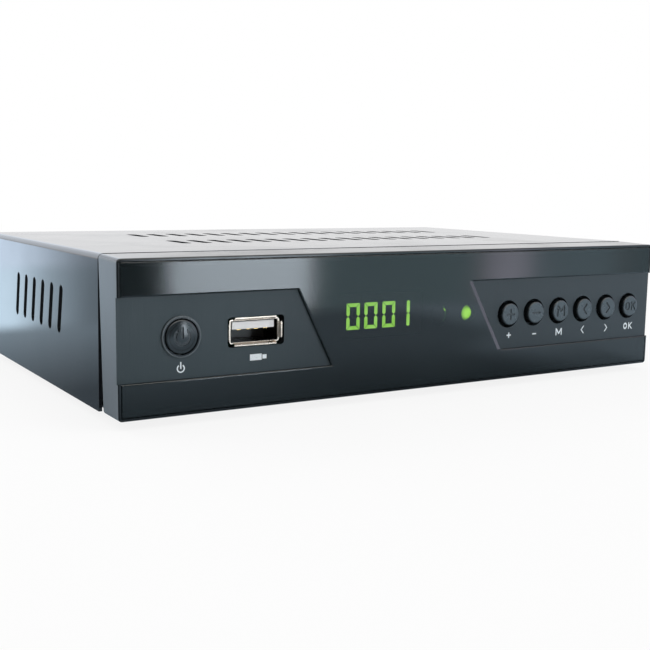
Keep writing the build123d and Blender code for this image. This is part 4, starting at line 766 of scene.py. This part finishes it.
def add_ring(bm, x, z, outer, inner, start, end, steps, stretch=1.0):
    """Ring or arc of ink, its angles in degrees from straight up, turning right. Stretch makes it
    taller, and its line heavier above and below."""
    whole = abs(end - start) >= 360
    angles = [math.radians(start + (end - start) * i / steps)
              for i in range(steps if whole else steps + 1)]
    rims = []
    for y in (PANEL - INK_THICK, PANEL):
        for radius in (outer, inner):
            rise = stretch * radius - (stretch - 1) * (outer - radius)
            rims.append([bm.verts.new(((x + math.sin(a) * radius) * MM, y * MM,
                                       (z + math.cos(a) * rise) * MM)) for a in angles])
    front_out, front_in, rear_out, rear_in = rims
    count = len(angles)
    for i in range(count if whole else count - 1):
        j = (i + 1) % count
        bm.faces.new((front_out[i], front_in[i], front_in[j], front_out[j]))
        bm.faces.new((rear_out[j], rear_in[j], rear_in[i], rear_out[i]))
        bm.faces.new((front_out[j], rear_out[j], rear_out[i], front_out[i]))
        bm.faces.new((front_in[i], rear_in[i], rear_in[j], front_in[j]))
    if not whole:
        bm.faces.new((front_out[0], rear_out[0], rear_in[0], front_in[0]))
        bm.faces.new((front_in[-1], rear_in[-1], rear_out[-1], front_out[-1]))


def print_sign(name, outlines, ring=None):
    """One sign on the case. Each outline is (points, X, Z); ring is what add_ring takes, by name."""
    bm = bmesh.new()
    if ring:
        add_ring(bm, **ring)
    for outline in outlines:
        add_outline(bm, *outline)
    piece = add_object(name, close_mesh(name, bm, "printed ink"))
    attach(piece, "case")


def print_signs():
    """Signs under the keys, the power sign and the sign of the stick socket."""
    at = [SIGN_FIRST + i * SIGN_PITCH for i in range(6)]
    print_sign("sign_plus", [(CROSS, at[0], SIGN_LEVEL + 0.2)])
    print_sign("sign_minus", [(DASH, at[1], SIGN_LEVEL)])
    print_sign("sign_menu", [(LETTER_M, at[2], SIGN_LEVEL)])
    print_sign("sign_left", [(CHEVRON, at[3], SIGN_LEVEL)])
    print_sign("sign_right", [([(-x, z) for x, z in reversed(CHEVRON)], at[4], SIGN_LEVEL)])
    letter_o = dict(x=at[5] - 1.1, z=SIGN_LEVEL, outer=0.8, inner=0.45, start=0, end=360, steps=28,
                    stretch=1.25)
    print_sign("sign_ok", [(LETTER_K, at[5] + 1.05, SIGN_LEVEL)], letter_o)
    power_arc = dict(x=POWER_SIGN[0], z=POWER_SIGN[1], outer=1.0, inner=0.70, start=34, end=326,
                     steps=26)
    print_sign("sign_power", [(POWER_STROKE, *POWER_SIGN)], power_arc)
    print_sign("sign_stick", [(STICK_BODY, *STICK_SIGN), (STICK_PLUG, *STICK_SIGN)])


print_signs()


# ---------------------------------------------------------------- studio
# places and distances here are in metres
FLOOR_REACH = 4.0
# the table in reflections: where it ends, and where it fades out on each side
TABLE_FRONT = -0.225
TABLE_REAR = 0.37
TABLE_SIDE = (0.45, 0.6)
# the receiver's shade on it: how far it reaches aside and ahead, where it ends behind, and what
# radiance is left in it
SHADE_ASIDE = 0.035
SHADE_AHEAD = 0.09
SHADE_BEHIND = (0.06, 0.15)
SHADE_LEFT = 0.37
TABLE_LEVEL = 0.9
BANDS_FROM = (-0.0085, -0.2676)      # the bands left of the receiver fan out from here
BANDS_START = (0.09, 0.125)          # and set in between these distances to the rear

# Soft screens around the table, as reflections meet them. Bearings and heights in degrees: 0 is ahead
# of the front, 90 to the right as the front is seen. Each is (bearings, heights, softness of each,
# radiance).
SCREENS = [
    ((-150, 24.5), (-60, 30), (0.3, 10), (0.15, 0.18, 0.20)),
    ((31.2, 40.4), (-60, 12), (0.6, 3), (0.98, 1.36, 1.50)),
    ((43.0, 48.0), (-20, 8), (0.8, 3), (1.10, 1.48, 1.70)),
    ((48.0, 60.0), (-20, 8), (1.2, 3), (0.70, 0.95, 1.08)),
    ((22.9, 30.9), (-6.9, 12), (0.5, 0.5), (7.6, 8.6, 9.5)),
    ((40.8, 43.2), (-6.6, 8), (0.9, 0.8), (3.1, 3.1, 3.7)),
    ((66, 118), (-20, 50), (6, 8), (1.35, 1.35, 1.65)),
    ((-40, 60), (38, 75), (12, 8), (3.0, 3.0, 2.9)),
    ((158, 190), (9, 60), (3, 3), (1.5, 1.6, 1.75)),
    ((-190, -155), (3, 60), (3, 2), (1.5, 1.6, 1.75)),
    ((-176, -150), (-7, -0.5), (3, 1), (0.56, 0.67, 0.80)),
    ((-176, -163.4), (-7, -0.5), (1.1, 1), (2.0, 2.4, 2.9)),
]
# name, place, aim, width, height and power, in metres and watts
SOFTBOXES = [
    ("softbox_rear", (-0.6, 1.3, 0.9), (0, 0, 0.02), 2.0, 1.0, 14.0),
    ("softbox_top", (0.3, -0.2, 1.6), (0, 0, 0), 1.2, 1.2, 8.0),
    ("softbox_right", (1.0, -0.9, 0.6), (0, 0, 0.02), 0.9, 0.7, 4.0),
]

CAMERA_PLACE = (-0.1594776, -0.2676233, 0.0545266)
CAMERA_TURN = 0.55414786             # radians, to the right of straight ahead
CAMERA_TILT = 0.13865530             # downwards
CAMERA_ROLL = 0.01535208
FOCAL_LENGTH = 1010.296              # in pixels of an image IMAGE_WIDTH across
IMAGE_WIDTH = 650.0
SENSOR_WIDTH = 36.0


def highest(tree, first, *others):
    for other in others:
        first = maths(tree, "MAXIMUM", first, other)
    return first


def reflected_floor(tree):
    """Radiance of the table in reflections. Returns its strength and how far a point is beyond the
    table."""
    x, y = axes(tree, shaded_point(tree))[:2]
    aside = maths(tree, "SUBTRACT", maths(tree, "ABSOLUTE", x), HALF_WIDTH * MM)
    ahead = maths(tree, "SUBTRACT", FRONT * MM, y)
    shift = maths(tree, "SUBTRACT", x, spread(tree, y, -0.11, -0.15, 0.0, 0.04))
    # dim where the receiver shades it, brighter to the rear and in a band on the right
    clear = highest(tree, spread(tree, aside, 0.0, SHADE_ASIDE), spread(tree, ahead, 0.0, SHADE_AHEAD),
                    spread(tree, y, *SHADE_BEHIND))
    strength = product(tree, spread(tree, clear, 0.0, 1.0, SHADE_LEFT, 1.0, smooth=False), TABLE_LEVEL,
                       spread(tree, y, 0.18, 0.36, 0.85, 1.25),
                       spread(tree, shift, 0.045, 0.085, 1.0, 2.15),
                       spread(tree, shift, 0.098, 0.115, 1.0, 0.76),
                       spread(tree, x, -0.06, 0.0, 1.5, 1.0))
    # left of the receiver: rising towards the rear close by, bands further back
    slant = maths(tree, "DIVIDE", maths(tree, "SUBTRACT", BANDS_FROM[0], x),
                  maths(tree, "ADD", y, -BANDS_FROM[1]))
    far = product(tree, spread(tree, slant, 0.255, 0.300, 2.4, 1.06),
                  spread(tree, slant, 0.300, 0.340, 1.0, 0.5))
    close = spread(tree, y, -0.013, 0.085, 0.19, 0.69, smooth=False)
    side = blend_value(tree, spread(tree, y, *BANDS_START), close, far)
    left = spread(tree, x, -(HALF_WIDTH - 3) * MM, -(HALF_WIDTH + 2) * MM)
    beyond = highest(tree, spread(tree, y, TABLE_FRONT + 0.015, TABLE_FRONT - 0.015),
                     spread(tree, y, TABLE_REAR - 0.03, TABLE_REAR + 0.03),
                     spread(tree, maths(tree, "ABSOLUTE", x), *TABLE_SIDE))
    return blend_value(tree, left, strength, side), beyond


def reflected_studio(tree):
    """Radiance of the studio in reflections."""
    x, y, z = axes(tree, add(tree, "ShaderNodeTexCoord")["Generated"])
    bearing = maths(tree, "DEGREES", maths(tree, "ARCTAN2", x, product(tree, y, -1.0)))
    height = maths(tree, "DEGREES", maths(tree, "ARCSINE", z))
    colour = (1.03, 1.03, 1.04)
    for bearings, heights, soft, radiance in SCREENS:
        mask = product(tree, between(tree, bearing, *bearings, soft[0]),
                       between(tree, height, *heights, soft[1]))
        colour = blend_colour(tree, mask, colour, radiance)
    return colour


def ray_kinds(tree):
    """Whether a ray comes straight to the eye, and whether it comes by a reflection."""
    path = add(tree, "ShaderNodeLightPath")
    direct = maths(tree, "ADD", path["Is Camera Ray"], path["Is Transmission Ray"], clamp=True)
    return direct, path["Is Glossy Ray"]


def floor_finish():
    """Pale floor: white to the eye, with the receiver's soft shadow, and clear from below."""
    made = bpy.data.materials.new("studio floor")
    tree, surface = empty_tree(made, "ShaderNodeOutputMaterial")
    direct, reflected = ray_kinds(tree)
    away = vectors(tree, "LENGTH", shaded_point(tree))["Value"]
    seen = mix_shaders(tree, product(tree, direct, spread(tree, away, 0.25, 0.9, 0.86, 1.0)),
                       add(tree, "ShaderNodeBsdfDiffuse", Color=(0.86, 0.86, 0.86))[0],
                       add(tree, "ShaderNodeEmission", Color=(1, 1, 1))[0])
    strength, beyond = reflected_floor(tree)
    nothing = add(tree, "ShaderNodeBsdfTransparent")[0]
    mirrored = add(tree, "ShaderNodeEmission", Color=(0.79, 1.0, 1.18), Strength=strength)[0]
    above = mix_shaders(tree, reflected, seen, mix_shaders(tree, beyond, mirrored, nothing))
    feed(tree, surface, mix_shaders(tree, geometry(tree, "Backfacing"), above, nothing))
    return made


def make_floor():
    mesh = bpy.data.meshes.new("floor")
    corners = [(x * FLOOR_REACH, y * FLOOR_REACH, 0) for x, y in ((-1, -1), (1, -1), (1, 1), (-1, 1))]
    mesh.from_pydata(corners, [], [(0, 1, 2, 3)])
    mesh.materials.append(floor_finish())
    floor = add_object("floor", mesh)


def light_world():
    """White to the eye, dimmer as light, and the screens in reflections."""
    world = bpy.data.worlds.new("studio")
    bpy.context.scene.world = world
    tree, surface = empty_tree(world, "ShaderNodeOutputWorld")
    direct, reflected = ray_kinds(tree)
    plain = add(tree, "ShaderNodeBackground", Color=(1.0, 1.0, 1.0), Strength=0.5)[0]
    white = add(tree, "ShaderNodeBackground", Color=(1.0, 1.0, 1.0))[0]
    mirrored = add(tree, "ShaderNodeBackground", Color=reflected_studio(tree))[0]
    feed(tree, surface, mix_shaders(tree, reflected, mix_shaders(tree, direct, plain, white), mirrored))


def add_softbox(name, place, aim, width, height, power):
    data = bpy.data.lights.new(name, "AREA")
    data.shape = "RECTANGLE"
    data.size = width
    data.size_y = height
    data.energy = power
    lamp = add_object(name, data)
    lamp.location = place
    lamp.rotation_euler = (Vector(aim) - Vector(place)).to_track_quat("-Z", "Y").to_euler()
    lamp.visible_camera = False
    lamp.visible_glossy = False


def place_camera():
    """Camera low on the left of the front, turned a little about its own axis."""
    level = math.cos(CAMERA_TILT)
    forward = Vector((math.sin(CAMERA_TURN) * level, math.cos(CAMERA_TURN) * level,
                      -math.sin(CAMERA_TILT)))
    right = forward.cross(Vector((0, 0, 1))).normalized()
    above = right.cross(forward)
    side = math.cos(CAMERA_ROLL) * right + math.sin(CAMERA_ROLL) * above
    top = -math.sin(CAMERA_ROLL) * right + math.cos(CAMERA_ROLL) * above
    data = bpy.data.cameras.new("camera")
    data.sensor_width = SENSOR_WIDTH
    data.lens = FOCAL_LENGTH * SENSOR_WIDTH / IMAGE_WIDTH
    data.clip_start = 0.01
    data.clip_end = 50.0
    camera = add_object("camera", data)
    turned = Matrix((side, top, -forward)).transposed().to_4x4()
    camera.matrix_world = Matrix.Translation(Vector(CAMERA_PLACE)) @ turned
    bpy.context.scene.camera = camera


make_floor()
light_world()
for softbox in SOFTBOXES:
    add_softbox(*softbox)
place_camera()
bpy.context.scene.view_settings.view_transform = "Standard"
